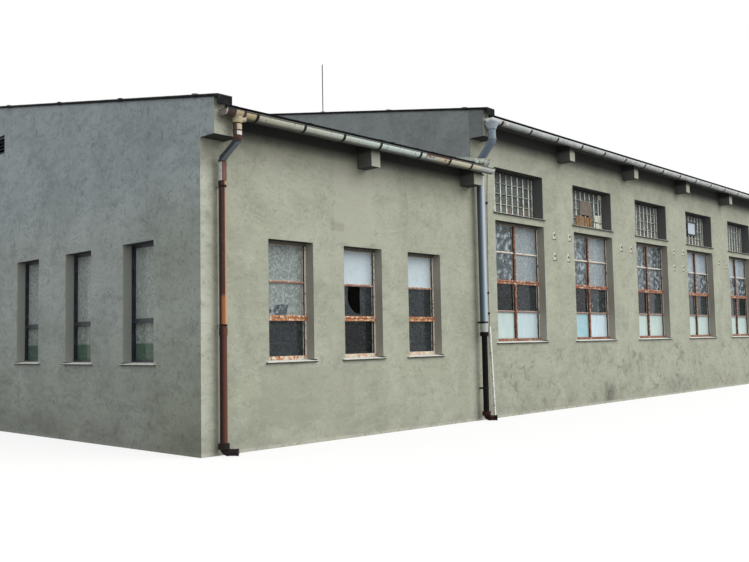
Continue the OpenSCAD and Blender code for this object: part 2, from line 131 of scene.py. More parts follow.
def colour(hex_code):
    """An sRGB hex colour as a linear RGBA colour."""
    channels = [int(hex_code[i:i + 2], 16) / 255 for i in (1, 3, 5)]
    linear = [c / 12.92 if c <= 0.04045 else ((c + 0.055) / 1.055) ** 2.4 for c in channels]
    return (*linear, 1.0)


def feed(socket, value):
    """Gives a socket a value, or links it to the socket that feeds it."""
    if isinstance(value, bpy.types.NodeSocket):
        socket.id_data.links.new(value, socket)
    else:
        socket.default_value = value


def add(tree, kind, inputs=None, **settings):
    """Adds a node; inputs gives each named or numbered socket a value, or the socket that feeds it."""
    made = tree.nodes.new(kind)
    for name, value in settings.items():
        setattr(made, name, value)
    for key, value in (inputs or {}).items():
        feed(made.inputs[key], value)
    return made


def start(name, roughness, metallic=0.0, shine=0.5):
    """A new material, and the place on the object in metres; shine is the specular level."""
    finish = bpy.data.materials.new(name)
    finish.use_nodes = True
    sockets = shader_inputs(finish)
    sockets["Roughness"].default_value = roughness
    sockets["Metallic"].default_value = metallic
    sockets["Specular IOR Level"].default_value = shine
    return finish, add(finish.node_tree, "ShaderNodeTexCoord", name="place").outputs["Object"]


def shader_inputs(finish):
    """The sockets of a material's shader."""
    return finish.node_tree.nodes["Principled BSDF"].inputs


def covered(finish, base, *coats, grain=None):
    """Gives a material a base colour under coats; grain is the size and the depth of its bump in metres."""
    feed(shader_inputs(finish)["Base Color"], layered(base, *coats))
    if grain:
        size, depth = grain
        tree = finish.node_tree
        place = tree.nodes["place"].outputs["Object"]
        noisy = add(tree, "ShaderNodeTexNoise", {
            "Vector": place, "Scale": 1 / size, "Detail": 3.0, "Roughness": 0.6})
        bump = add(tree, "ShaderNodeBump", {
            "Strength": 1.0, "Distance": depth, "Height": noisy.outputs["Fac"]})
        feed(shader_inputs(finish)["Normal"], bump.outputs["Normal"])
    return finish


@cache
def material(maker):
    """The material that one of the finishes below makes, made when it is first asked for."""
    return maker()


def layered(base, *coats):
    """Lays coats over a base. A coat is a mask, its colour and, where it is thin, its strength.

    A colour is a hex code, an RGBA colour or the socket that feeds it.
    """
    result = colour(base) if isinstance(base, str) else base
    for mask, coat, *strength in coats:
        mask = weaker(mask, *strength) if strength else mask
        coat = colour(coat) if isinstance(coat, str) else coat
        mixed = add(mask.id_data, "ShaderNodeMix", {0: mask, 6: result, 7: coat}, data_type="RGBA")
        result = mixed.outputs[2]
    return result


def patches(place, size, level, edge=0.03, detail=5.0, twist=0.0):
    """Mask of irregular patches about size metres across; a higher level leaves fewer of them."""
    tree = place.id_data
    grain = add(tree, "ShaderNodeTexNoise", {
        "Vector": place, "Scale": 1 / size, "Detail": detail, "Roughness": 0.6, "Distortion": twist})
    return add(tree, "ShaderNodeMapRange", {
        "Value": grain.outputs["Fac"], "From Min": level - edge, "From Max": level + edge}).outputs["Result"]


def squeezed(place, size, along):
    """The place on the object, measured in sizes across and in lengths along the upright."""
    return add(place.id_data, "ShaderNodeMapping", {
        "Vector": place, "Scale": (1 / size, 1 / size, 1 / along)}).outputs["Vector"]


def stretched(place, size, along, level, edge=0.05):
    """Mask of streaks that are size metres wide and run upright for along metres."""
    return patches(squeezed(place, size, along), 1.0, level, edge)


def above(value, low, edge=0.002):
    """Mask that is 1 where value is over low, and falls off over edge below it."""
    return add(value.id_data, "ShaderNodeMapRange", {
        "Value": value, "From Min": low - edge, "From Max": low}).outputs["Result"]


def below(value, high, edge=0.002):
    """Mask that is 1 where value is under high, and falls off over edge above it."""
    return add(value.id_data, "ShaderNodeMapRange", {
        "Value": value, "From Min": high + edge, "From Max": high}).outputs["Result"]


def band(value, low, high, edge=0.002):
    """Mask that is 1 where value lies between low and high, and falls off over edge."""
    return all_of(above(value, low, edge), below(value, high, edge))


def combined(operation, masks):
    """Masks joined one after another by a mathematical operation."""
    result = masks[0]
    for mask in masks[1:]:
        result = add(mask.id_data, "ShaderNodeMath", {0: result, 1: mask}, operation=operation).outputs[0]
    return result


def all_of(*masks):
    """Mask of the places where all the masks hold."""
    return combined("MULTIPLY", masks)


def any_of(*masks):
    """Mask of the places where any of the masks holds."""
    return combined("MAXIMUM", masks)


def weaker(mask, strength):
    """A mask brought down to a share of its strength."""
    return add(mask.id_data, "ShaderNodeMath", {0: mask, 1: strength}, operation="MULTIPLY").outputs[0]


def axes(vector):
    """The three parts of a vector."""
    return add(vector.id_data, "ShaderNodeSeparateXYZ", {"Vector": vector}).outputs[:3]


def magnitude(value):
    """A value without its sign."""
    return add(value.id_data, "ShaderNodeMath", {0: value}, operation="ABSOLUTE").outputs[0]


def outward(place):
    """The three parts of the direction that a face looks in."""
    return axes(add(place.id_data, "ShaderNodeNewGeometry").outputs["True Normal"])


def facing(place, axis):
    """Mask of the faces that look along an axis, 0 for X, 1 for Y and 2 for Z, either way."""
    return above(magnitude(outward(place)[axis]), 0.6, 0.1)


def shaded_underside(place):
    """Mask of the faces that look down, which the finishes darken as painted shade."""
    return below(outward(place)[2], -0.7, 0.1)


def wavering(place, size, reach):
    """The place on the object, shifted to and fro by up to reach metres in waves about size metres long."""
    tree = place.id_data
    grain = add(tree, "ShaderNodeTexNoise", {"Vector": place, "Scale": 1 / size, "Detail": 3.0})
    level = add(tree, "ShaderNodeVectorMath", {
        0: grain.outputs["Color"], 1: (0.5, 0.5, 0.5)}, operation="SUBTRACT")
    moved = add(tree, "ShaderNodeVectorMath", {
        0: level.outputs[0], 1: (4 * reach, 4 * reach, 4 * reach), 2: place}, operation="MULTIPLY_ADD")
    return moved.outputs[0]


def spot(place, low, high, edge=0.02):
    """Mask of a spot on the long walls between two corners, each a distance along the wall and a height."""
    x, _, z = axes(place)
    return all_of(band(x, LEFT + low[0], LEFT + high[0], edge), band(z, low[1], high[1], edge))


def cracks(place, size, along, level):
    """Mask of fine broken cracks, about size metres apart and running upright for along metres."""
    bent = squeezed(wavering(place, 0.25, 0.03), size, along)
    cell = add(
        place.id_data, "ShaderNodeTexVoronoi", {"Vector": bent, "Scale": 1.0}, feature="DISTANCE_TO_EDGE")
    return all_of(below(cell.outputs["Distance"], 0.012, 0.02), patches(place, 0.35, level, 0.04))


def pipe_side(place, pipe_x, pipe_y):
    """How far a place lies to the hall's side of an upright pipe's middle, seen slantwise from the corner."""
    x, y, _ = axes(place)
    tree = place.id_data
    along = add(tree, "ShaderNodeMath", {0: x, 1: -pipe_x}, operation="ADD").outputs[0]
    off_wall = add(tree, "ShaderNodeMath", {0: magnitude(y), 1: pipe_y}, operation="ADD").outputs[0]
    both = add(tree, "ShaderNodeMath", {0: along, 1: off_wall}, operation="ADD").outputs[0]
    return weaker(both, math.sqrt(0.5))


def slope_height(place):
    """A place's height, raised by the fall of the roof's slopes between it and the ridge."""
    _, y, z = axes(place)
    raised = add(
        place.id_data, "ShaderNodeMath", {0: magnitude(y), 1: FALL, 2: z}, operation="MULTIPLY_ADD")
    return raised.outputs[0]


def rooms(place):
    """Mask of the surfaces that look into the wing or the hall."""
    x, y, _ = axes(place)
    ceiling = WING_EAVES - FRONT * FALL - 0.05
    wing = all_of(band(x, LEFT + WALL - 0.01, HALL + 0.01), below(slope_height(place), ceiling))
    hall = band(x, HALL + WALL - 0.01, RIGHT - WALL + 0.01)
    return all_of(any_of(wing, hall), below(magnitude(y), -FRONT - WALL + 0.01))


def reveals(place):
    """Masks of the window reveals behind the outer walls' faces: on the long sides, and on the gable."""
    x, y, z = axes(place)
    away = magnitude(y)
    behind = 0.012
    long_sides = all_of(
        band(away, -FRONT - WALL, -FRONT - behind),
        any_of(band(x, LEFT + 0.6, HALL - 0.05), band(x, HALL + 0.5, RIGHT - 0.5)))
    gable = all_of(band(x, LEFT + behind, LEFT + WALL), below(away, -FRONT - 0.6), band(z, 1.0, 5.7))
    return long_sides, gable


def cement_render():
    """Cement render, floated by hand: matt, clouded by the trowel, with repairs, cracks and damp places."""
    colours = bpy.context.scene.factory_walls
    finish, place = start("cement_render_floated", 0.92, shine=0.3)
    x, y, z = axes(place)
    loose = wavering(place, 0.5, 0.10)
    on_gable = facing(place, 0)
    wing_gable = all_of(on_gable, below(x, LEFT + 0.01))
    corner = below(x, LEFT + 0.17, 0.06)
    high_gable = all_of(wing_gable, above(z, 4.2, 1.2))
    low_gable = all_of(wing_gable, below(z, 0.3, 1.8))
    gable_side = all_of(wing_gable, below(y, FRONT + 0.9, 0.8), below(z, 3.0, 1.2))
    hall_gable = all_of(on_gable, band(x, HALL - 0.1, HALL + 0.1))
    # Painted light: the render within 0.17 m of the wing's gable plane is made paler, so the strips of long
    # wall beside the corner pipes, which the pipes shade, and the gable face with them.
    face = layered((*colours.facade, 1.0), (corner, "#d0d3c5", 0.6))
    cloud = patches(place, 1.1, 0.5, 0.16, 5.0, 0.6)
    trowel = stretched(loose, 0.42, 0.12, 0.54, 0.08)
    pale_cloud = patches(place, 0.75, 0.52, 0.14, 4.0, 0.8)
    pits = patches(place, 0.09, 0.60, 0.05, 3.0, 1.5)
    grains = stretched(loose, 0.14, 0.05, 0.60, 0.06)
    pale_repair = any_of(
        spot(loose, (2.62, 3.12), (3.52, 4.6), 0.012), spot(loose, (3.74, 4.05), (3.90, 4.5), 0.02))
    dark_repair = all_of(
        spot(loose, (1.06, 0.34), (3.6, 1.20), 0.012), spot(place, (0.0, 0.0), (3.0, 2.0), 0.01))
    smudge = spot(wavering(place, 0.12, 0.04), (2.52, 3.36), (2.80, 3.47), 0.04)
    stain = all_of(
        spot(wavering(place, 0.2, 0.10), (11.52, 0.15), (11.70, 0.30), 0.28),
        patches(place, 0.20, 0.38, 0.12))
    marks = all_of(
        band(z, 0.2, 1.25, 0.2), band(x, HALL + 1.0, RIGHT, 0.6), patches(place, 0.22, 0.57, 0.04, 6.0, 0.8),
        patches(place, 1.4, 0.47, 0.10))
    damp = all_of(below(z, 0.15, 0.35), patches(place, 0.5, 0.50, 0.1))
    foot = all_of(below(z, 0.04, 0.02), patches(place, 0.10, 0.46, 0.05))
    scuffs = all_of(on_gable, patches(place, 0.14, 0.62, 0.03, 6.0, 1.2))
    cracked = all_of(wing_gable, above(z, 3.3, 0.5), cracks(place, 0.14, 0.55, 0.57))
    # Painted shade: a near-black band along the tops of the long walls, under the eaves.
    wing_eaves_shade = all_of(above(z, WING_EAVES - 0.26, 0.19), band(x, LEFT + 0.4, HALL - 0.02, 0.03))
    hall_eaves_shade = all_of(above(z, HALL_EAVES - 0.33, 0.24), band(x, HALL + 0.4, RIGHT, 0.03))
    eaves_shade = all_of(above(magnitude(y), -FRONT - 0.01), any_of(wing_eaves_shade, hall_eaves_shade))
    outside = layered(
        face, (cloud, "#979a8a", 0.60), (trowel, "#8f9184", 0.42), (pale_cloud, "#c0c1b0", 0.48),
        (pits, "#85877b", 0.42), (grains, "#c6c7b8", 0.25), (pale_repair, "#b4b5a5", 0.55),
        (dark_repair, "#999a8c", 0.45), (smudge, "#858578", 0.35), (stain, "#56554f", 0.75),
        (marks, "#75766b", 0.62), (damp, "#807f73", 0.30), (scuffs, "#7b807b", 0.40),
        (cracked, "#5c605c", 0.42), (eaves_shade, "#2b2c2f", 0.90), (foot, "#bdbbae", 0.8))
    # Painted shade: a multiplied tint darkens and blues the gables, which face away from the sun; further
    # tints make the wing's gable bluer high up and darker at its foot and near the front corner, and the
    # hall's gable darker and bluer.
    for mask, tint in [
        (on_gable, (*colours.gable, 1.0)), (weaker(high_gable, 0.8), colour("#f0f4ff")),
        (low_gable, colour("#e6e3db")), (gable_side, colour("#f1f1ea")), (hall_gable, colour("#eeeef8")),
    ]:
        shaded = add(
            finish.node_tree, "ShaderNodeMix", {0: mask, 6: outside, 7: tint}, data_type="RGBA",
            blend_type="MULTIPLY")
        outside = shaded.outputs[2]
    # Painted shade: the long walls' reveals take a darker colour, those round the glass-block lights a dark
    # one as under their lintels, and faces that look down are darkened; the gable's reveals take their own
    # colour in place of the gable's painted shade.
    long_sides, gable = reveals(place)
    high = all_of(long_sides, above(z, LIGHT.sill - 0.02), band(x, HALL, RIGHT))
    plaster = layered("#dcdbd4", (below(z, 1.5), "#5f8f74"))
    return covered(
        finish, outside, (long_sides, (*colours.reveal, 1.0)), (gable, (*colours.gable_reveal, 1.0)),
        (high, (*colours.light_reveal_shade, 1.0)), (shaded_underside(place), "#3a3b39"), (rooms(place), plaster),
        grain=(0.012, 0.003))


def beam_render():
    """Rendered beam ends: the fronts as pale as the wall, with painted shade: the sides grey, the tops under
    the eaves and the undersides black.
    """
    finish, place = start("beam_render_shaded", 0.92)
    x, _, z = axes(place)
    cloud = patches(place, 0.25, 0.5, 0.15)
    # Painted shade: black at the tops of the beams under the eaves; the sides and the undersides get painted
    # shade as well.
    eaves_shade = any_of(
        all_of(above(z, 4.69, 0.05), band(x, LEFT, HALL)), all_of(above(z, 5.66, 0.06), band(x, HALL, RIGHT)))
    return covered(
        finish, "#adaf9f", (cloud, "#979a8c", 0.4), (facing(place, 0), "#626260"), (eaves_shade, "#262729", 0.9),
        (shaded_underside(place), "#323233"), (rooms(place), "#a9a8a0"), grain=(0.012, 0.003))


def cast_concrete():
    """Concrete cast in boards: outside a grey kept dark as painted shade under the eaves, with darker
    patches; whitewashed inside.
    """
    finish, place = start("concrete_cast", 0.9, shine=0.2)
    darker_patches = patches(place, 0.3, 0.5, 0.1)
    # Painted shade: the outside grey is darkened for the soffits under the eaves.
    return covered(finish, "#5c5c5a", (darker_patches, "#4a4a48"), (rooms(place), "#a9a8a0"), grain=(0.01, 0.002))


def sill_concrete():
    """Precast concrete: whitish, smooth on top, with painted shadow: a black band low on its front and black
    undersides.
    """
    finish, place = start("concrete_precast", 0.85)
    z = axes(place)[2]
    dirt = patches(place, 0.09, 0.60, 0.05)
    # Painted shadow: a black band low on each sill's front, and black undersides.
    sill_shadow_lines = any_of(*[
        band(z, opening.sill - 0.050, opening.sill - 0.030) for opening in (WING_WINDOW, HALL_WINDOW, LIGHT)])
    return covered(
        finish, "#dfe2d9", (dirt, "#a3a399", 0.5), (sill_shadow_lines, "#20211f"), (shaded_underside(place), "#20211f"),
        grain=(0.006, 0.0012))


def roofing_felt():
    """Bitumen felt, rolled out and torched: weathered grey with mineral grit, near black along the eaves edge
    as painted shade.
    """
    finish, place = start("bitumen_felt_rolled", 0.9, shine=0.15)
    y = axes(place)[1]
    worn = patches(place, 1.3, 0.50, 0.20)
    ponds = patches(place, 0.35, 0.60, 0.10)
    grit = patches(place, 0.02, 0.6, 0.04)
    # Painted shade: near black along the eaves edge.
    drip = above(magnitude(y), -FRONT + 0.33)
    return covered(
        finish, "#393a3c", (worn, "#4a4a49", 0.7), (ponds, "#333436", 0.35), (grit, "#5d5d5b", 0.5),
        (drip, "#0d0d0f"), grain=(0.008, 0.002))


def crumpled_felt():
    """Aluminium-faced felt, crumpled by hand: pale grey-green with brown dirt in its folds."""
    finish, place = start("foil_felt_crumpled", 0.6, 0.2)
    dirt = patches(place, 0.12, 0.60, 0.05)
    return covered(finish, "#9da49c", (dirt, "#66594c"), grain=(0.03, 0.006))


def verge_felt():
    """Felt-clad verge cover: near black and matt, gritty, worn pale along its upper edge."""
    finish, place = start("verge_felt_worn", 0.9, shine=0.1)
    x = axes(place)[0]
    top = slope_height(place)
    ridge = -FRONT * FALL + PARAPET + 0.032
    wing_edge = all_of(above(top, WING_EAVES + ridge), below(x, HALL - 0.1))
    hall_edge = above(top, HALL_EAVES + ridge)
    edge = all_of(any_of(wing_edge, hall_edge), patches(place, 0.15, 0.45, 0.08))
    dust = patches(place, 0.2, 0.58, 0.08)
    return covered(finish, "#1d1e21", (dust, "#2c2d2f"), (edge, "#7e7f7d"), grain=(0.02, 0.003))


def peeling_white():
    """Steel painted white by brush, peeling: chalky flakes over brown rust, with painted shade: brown-black
    on its sides and at the head, under the lintel.
    """
    finish, place = start("painted_steel_peeling", 0.6)
    x, _, z = axes(place)
    flaked = patches(place, 0.06, 0.61, 0.02)
    gap = patches(place, 0.025, 0.62, 0.02)
    # Painted shade: the heads under the lintels, and the members' sides, are darkened.
    lintel_shade = any_of(
        band(z, WING_WINDOW.head - FRAME_W - 0.004, WING_WINDOW.head + 0.01),
        band(z, HALL_WINDOW.head - FRAME_W - 0.004, HALL_WINDOW.head + 0.01))
    low_bar = all_of(band(z, HALL_WINDOW.bars[0] - 0.03, HALL_WINDOW.bars[0] + 0.03), band(x, HALL, RIGHT))
    return covered(
        finish, "#ddd7ca", (flaked, "#86644d", 0.8), (gap, "#41322a"), (facing(place, 0), "#38322c"),
        (lintel_shade, "#4d4339", 0.85), (low_bar, "#7d5443", 0.85))


def orange_rust():
    """Mild steel, rusted where its paint has gone: orange with cream and white remains, most at the foot."""
    finish, place = start("mild_steel_rusted", 0.85)
    foot = all_of(below(axes(place)[2], WING_WINDOW.sill + 0.08), patches(place, 0.09, 0.44, 0.05))
    cream = patches(place, 0.06, 0.53, 0.03)
    white = patches(place, 0.045, 0.61, 0.02)
    pits = patches(place, 0.035, 0.60, 0.03)
    return covered(
        finish, "#b06c40", (cream, "#dab993"), (white, "#eee7d8"), (foot, "#d3cbba", 0.85), (pits, "#6d3b24"),
        grain=(0.01, 0.002))


def pink_primer():
    """Thin steel bars in faded red primer: pinkish brown with cream chips."""
    finish, place = start("red_primer_faded", 0.8)
    cream = patches(place, 0.05, 0.58, 0.03)
    return covered(finish, "#9a7060", (cream, "#c9b09c"))


def red_rust():
    """Mild steel with old brown primer: dull brown and orange-brown, cream where paint still holds, with
    painted shade on its sides.
    """
    finish, place = start("brown_primer_worn", 0.8)
    cream = patches(place, 0.07, 0.57, 0.03)
    orange = patches(place, 0.11, 0.52, 0.05)
    dark = patches(place, 0.05, 0.58, 0.05)
    foot = below(axes(place)[2], HALL_WINDOW.sill + 0.08)
    # Painted shade: the members' sides are darkened.
    return covered(
        finish, "#8f5c49", (orange, "#b3744f"), (cream, "#d3bda5"), (dark, "#4c3129"),
        (foot, "#5f3a2e", 0.55), (facing(place, 0), "#443029"), grain=(0.01, 0.002))


def anthracite_steel():
    """Steel frames with a sprayed anthracite coat: dark blue-grey, silky."""
    finish, place = start("anthracite_steel_sprayed", 0.45)
    dust = patches(place, 0.12, 0.56, 0.08)
    return covered(finish, "#1f232d", (dust, "#343943"))


def glass_dust_and_reflection():
    """Drawn window glass: dark where clean, blotched by each pane's film of dust and painted reflection, with
    a painted reflection of grass low on the gable.
    """
    finish, place = start("drawn_glass_dust_and_reflection", 0.06)
    tree = finish.node_tree
    sockets = shader_inputs(finish)
    sockets["IOR"].default_value = 1.25
    film = add(tree, "ShaderNodeAttribute", attribute_name="film").outputs["Color"]
    cover = add(tree, "ShaderNodeAttribute", attribute_name="film_cover").outputs["Fac"]
    grain = add(tree, "ShaderNodeTexNoise", {"Vector": place, "Scale": 8.0, "Detail": 9.0, "Roughness": 0.70})
    weighed = add(
        tree, "ShaderNodeMath", {0: cover, 1: 0.9, 2: grain.outputs["Fac"]}, operation="MULTIPLY_ADD")
    blotch = add(tree, "ShaderNodeMapRange", {
        "Value": weighed.outputs[0], "From Min": 0.80, "From Max": 0.90}).outputs["Result"]
    thin = weaker(cover, 0.30)
    haze = add(tree, "ShaderNodeMath", {0: blotch, 1: 0.65, 2: thin}, operation="MULTIPLY_ADD").outputs[0]
    clear = add(tree, "ShaderNodeMapRange", {
        "Value": haze, "From Min": 0.0, "From Max": 1.0, "To Min": 0.97, "To Max": 0.0})
    feed(sockets["Transmission Weight"], clear.outputs["Result"])
    # Painted reflection, with dust: pale patches and specks, and dark patches where the film is thin, stand
    # for reflected sky and trees.
    pale = patches(place, 0.09, 0.55, 0.05, 6.0, 2.0)
    speck = patches(place, 0.04, 0.52, 0.10, 8.0)
    x, _, z = axes(place)
    # Painted reflection: a green band low on the gable's panes stands for reflected grass.
    grass_reflection = all_of(band(x, LEFT, LEFT + WALL), band(z, SLIT.sill, SLIT.sill + 0.28, 0.02))
    thin_film = add(tree, "ShaderNodeMapRange", {
        "Value": cover, "From Min": 0.3, "From Max": 0.85, "To Min": 0.45, "To Max": 0.12}).outputs["Result"]
    dark = all_of(patches(place, 0.09, 0.56, 0.08, 8.0, 0.8), thin_film)
    return covered(
        finish, "#dfe6e6", (above(cover, 0.01), film), (dark, "#56605e"), (pale, "#d5dcdc", 0.35),
        (speck, "#cfd8d6", 0.28), (grass_reflection, "#365845", 0.8))


def painted_glass():
    """Window glass brushed with thin lime paint: pale mint and blue, with soft upright streaks."""
    finish, place = start("glass_limewashed", 0.5)
    film = add(finish.node_tree, "ShaderNodeAttribute", attribute_name="film").outputs["Color"]
    streak = stretched(place, 0.05, 0.6, 0.52, 0.12)
    pale = patches(place, 0.25, 0.5, 0.12)
    return covered(finish, film, (pale, "#d2dbd8", 0.35), (streak, "#a3b7bb", 0.4))


def opal_glass():
    """Opal glass in a small casement: milky, faintly blue, even."""
    finish, place = start("opal_glass_milky", 0.4)
    dust = patches(place, 0.12, 0.5, 0.12)
    return covered(finish, "#c2cfdb", (dust, "#a9b4bd", 0.4))


def pressed_block():
    """Pressed glass block: thick grey-green glass, dark from outside, ribbed upright, dusty below, with
    painted shade at the top under the lintel.
    """
    finish, place = start("glass_block_pressed", 0.35)
    x, _, z = axes(place)
    rib_w = 0.024
    ribs = add(
        finish.node_tree, "ShaderNodeMath", {0: weaker(x, 2 * math.pi / rib_w)}, operation="SINE").outputs[0]
    bump = add(finish.node_tree, "ShaderNodeBump", {"Strength": 0.7, "Distance": 0.003, "Height": ribs})
    feed(shader_inputs(finish)["Normal"], bump.outputs["Normal"])
    brown = all_of(band(z, 4.0, 4.33, 0.1), patches(place, 0.25, 0.5, 0.1))
    varied = patches(place, 0.16, 0.5, 0.10)
    # Painted shade: the top row is darkened under the lintel.
    return covered(
        finish, "#2b3230", (varied, "#5a635d"), (brown, "#6f665a", 0.7),
        (above(z, 4.88, 0.05), "#22282a", 0.6))


def lime_mortar():
    """Lime mortar, pointed with a trowel: whitish, chalky, gone in places."""
    finish, place = start("lime_mortar_pointed", 0.95)
    dirt = patches(place, 0.08, 0.54, 0.06)
    return covered(finish, "#eceee8", (dirt, "#8f938a", 0.7), grain=(0.008, 0.002))


def grey_mortar():
    """Cement mortar in the level joints: greener and greyer than the uprights, sunk and dusty."""
    finish, place = start("cement_mortar_sunk", 0.95)
    dirt = patches(place, 0.10, 0.52, 0.08)
    return covered(finish, "#9aa094", (dirt, "#72786e", 0.7))


def shadow_joint():
    """Raked-out mortar: near black as painted shade in the gaps and the drill holes, and rough."""
    return covered(start("raked_joint_shade", 0.95)[0], "#121514")


def wing_gutter_paint():
    """Galvanised gutter under old paint: rusty to its outlet, then grey-cream and chalky, bare at its end;
    painted shade along its rim and on its belly, and dark bands at its straps, painted shadow with grime.
    """
    finish, place = start("gutter_paint_cream", 0.55, shine=0.3)
    x, _, z = axes(place)
    rusty_end = any_of(band(x, LEFT + 0.075, LEFT + 0.215, 0.006), band(x, LEFT + 0.345, LEFT + 0.395, 0.006))
    yellow = band(x, LEFT + 0.215, LEFT + 0.60, 0.01)
    cap = all_of(band(x, LEFT - 0.1, LEFT + 0.2), facing(place, 0))
    chalky = band(x, LEFT + 3.2, HALL, 2.3)
    cream_end = band(x, LEFT + 4.64, LEFT + 5.89, 0.15)
    bare_end = above(x, LEFT + 5.91, 0.01)
    ragged = patches(place, 0.09, 0.49, 0.05)
    rust_patch = all_of(
        band(x, LEFT + 4.34, LEFT + 5.02, 0.03),
        any_of(above(z, WING_RIM - 0.022, 0.006), all_of(above(z, WING_RIM - 0.05, 0.02), ragged)))
    # Painted shade: a dark line along the rim, under the felt's edge.
    painted_rim = above(z, WING_RIM - 0.009, 0.008)
    # Dark bands at the straps: painted shadow of the straps, with grime.
    grime_and_shadow = any_of(*[band(x, LEFT + middle - 0.025, LEFT + middle + 0.025, 0.010) for middle in WING_STRAPS])
    runs = stretched(place, 0.05, 0.3, 0.60, 0.04)
    # Painted shade: the belly darkens towards the bottom.
    shaded_belly = below(z, WING_RIM - 0.089, 0.018)
    scale = patches(place, 0.05, 0.5, 0.1)
    rust = layered("#523a33", (scale, "#3f2b29"))
    return covered(
        finish, "#c9c8b5", (yellow, "#c3b591"), (chalky, "#d9e7e0"), (runs, "#8f8c7c", 0.6),
        (cream_end, "#d9d4bb"), (bare_end, "#c6cac3"), (rust_patch, "#7d5744"), (rusty_end, rust),
        (cap, "#6b6663"), (grime_and_shadow, "#35322e", 0.85), (painted_rim, "#26272a", 0.8), (shaded_belly, "#4a4b4d", 0.85))


def outlet_paint():
    """Gutter outlets: the wing's cream over brown primer, with a white length below; the hall's pale zinc."""
    finish, place = start("outlet_paint_cream", 0.55)
    x, _, z = axes(place)
    chips = patches(place, 0.05, 0.62, 0.02)
    cream = layered("#bbb092", (chips, "#8a6548"))
    white = band(z, 4.0, 4.50, 0.004)
    brown = band(x, LEFT, CORNER_PIPE - 0.046, 0.006)
    hall = band(x, HALL - 0.2, RIGHT)
    socket = band(z, 4.0, 5.573, 0.004)
    zinc = layered("#a9b6be", (socket, "#c0cbd1"))
    return covered(finish, cream, (white, "#d6d3cb"), (brown, "#41312f"), (hall, zinc))


def zinc_gutter():
    """Galvanised steel, rolled half-round: pale grey zinc with white bloom and brown runs, a painted
    highlight along its rim, painted shade on its belly and dark bands at its straps, painted shadow with
    grime.
    """
    finish, place = start("galvanised_steel_rolled", 0.45, 0.55)
    x, _, z = axes(place)
    # Painted shade: the belly darkens towards the bottom.
    shaded_belly = all_of(band(z, HALL_RIM - 0.5, HALL_RIM - 0.074, 0.03), band(x, HALL, RIGHT))
    # Painted highlight: a pale line along the rim.
    painted_rim = above(z, HALL_RIM - 0.016, 0.01)
    bloom = patches(place, 0.3, 0.5, 0.1)
    run = stretched(place, 0.05, 0.3, 0.62, 0.03)
    tree = finish.node_tree
    from_first = add(tree, "ShaderNodeMath", {0: x, 1: HALL + HALL_STRAP}, operation="SUBTRACT").outputs[0]
    from_strap = add(
        tree, "ShaderNodeMath", {0: from_first, 1: STRAP_SPACING / 2}, operation="PINGPONG").outputs[0]
    # Dark bands at the straps: painted shadow of the straps, with grime.
    grime_and_shadow = below(from_strap, 0.032, 0.010)
    return covered(
        finish, "#a3a8a7", (bloom, "#c3c7c6"), (run, "#6e5a4c"), (grime_and_shadow, "#2a2b29", 0.85),
        (shaded_belly, "#4d5153", 0.55), (painted_rim, "#e4e7e6", 0.6))


def blue_zinc():
    """Galvanised steel, seamed into pipe: blue-grey zinc, with painted shade on its side towards the corner
    and a painted highlight on its side towards the hall.
    """
    finish, place = start("galvanised_steel_seamed", 0.5, 0.2)
    z = axes(place)[2]
    spangle = patches(place, 0.04, 0.52, 0.1)
    grime_and_shadow = patches(place, 0.4, 0.58, 0.08)
    side = pipe_side(place, HALL_PIPE, HALL_PIPE_Y)
    upright = band(z, 1.0, 4.95, 0.03)
    # Painted shade on the corner's side of the pipe, and a painted highlight on the hall's side.
    shaded_side = all_of(upright, below(side, -0.040, 0.045))
    highlight_side = all_of(upright, above(side, 0.030, 0.03))
    neck = band(z, 4.95, 5.40, 0.02)
    sleeve = band(z, 1.0, 1.84, 0.004)
    return covered(
        finish, "#72838f", (spangle, "#8292a0", 0.5), (grime_and_shadow, "#6d7983", 0.4), (shaded_side, "#39434b", 0.85),
        (highlight_side, "#bccad5", 0.75), (neck, "#5a6876", 0.6), (sleeve, "#b3b8ae", 0.7))


def rusty_pipe():
    """Steel downpipe in brown primer: purple-brown, orange above its lowest joint, zinc at its slant, with
    painted shade on its side towards the corner and painted highlights on its side towards the hall.
    """
    finish, place = start("brown_primer_pipe", 0.75, shine=0.2)
    z = axes(place)[2]
    blotch = patches(place, 0.1, 0.56, 0.05)
    dark = stretched(place, 0.05, 0.5, 0.54, 0.08)
    brown = layered("#4f362f", (blotch, "#684639", 0.6), (dark, "#483029", 0.7))
    side = pipe_side(place, CORNER_PIPE, CORNER_PIPE_Y)
    upright = band(z, 0.2, 4.10, 0.01)
    # Painted shade on the corner's side of the pipe, and a painted highlight on the hall's side.
    shaded = all_of(upright, below(side, -0.018, 0.016))
    sunny = all_of(band(z, 1.80, 4.10, 0.01), above(side, 0.040, 0.006))
    orange = all_of(band(z, 1.83, 2.20, 0.05), above(side, -0.022, 0.01))
    lowest = band(z, 0.18, 1.78, 0.01)
    # Painted light: the hall's side of the lowest length is made warmer and lighter.
    lit_low_side = all_of(lowest, above(side, 0.045, 0.06))
    shoe = below(z, 0.18, 0.01)
    slant = band(z, 4.13, 4.36, 0.01)
    zinc = layered("#3f464c", (blotch, "#33393f"), (facing(place, 2), "#8f989c", 0.8))
    return covered(
        finish, brown, (orange, "#a3693f", 0.85), (lowest, "#38221c", 0.88), (lit_low_side, "#7d4e40", 0.6),
        (shaded, "#231b1b", 0.75), (sunny, "#cba888", 0.75), (slant, zinc), (shoe, "#221b1b"),
        grain=(0.01, 0.001))


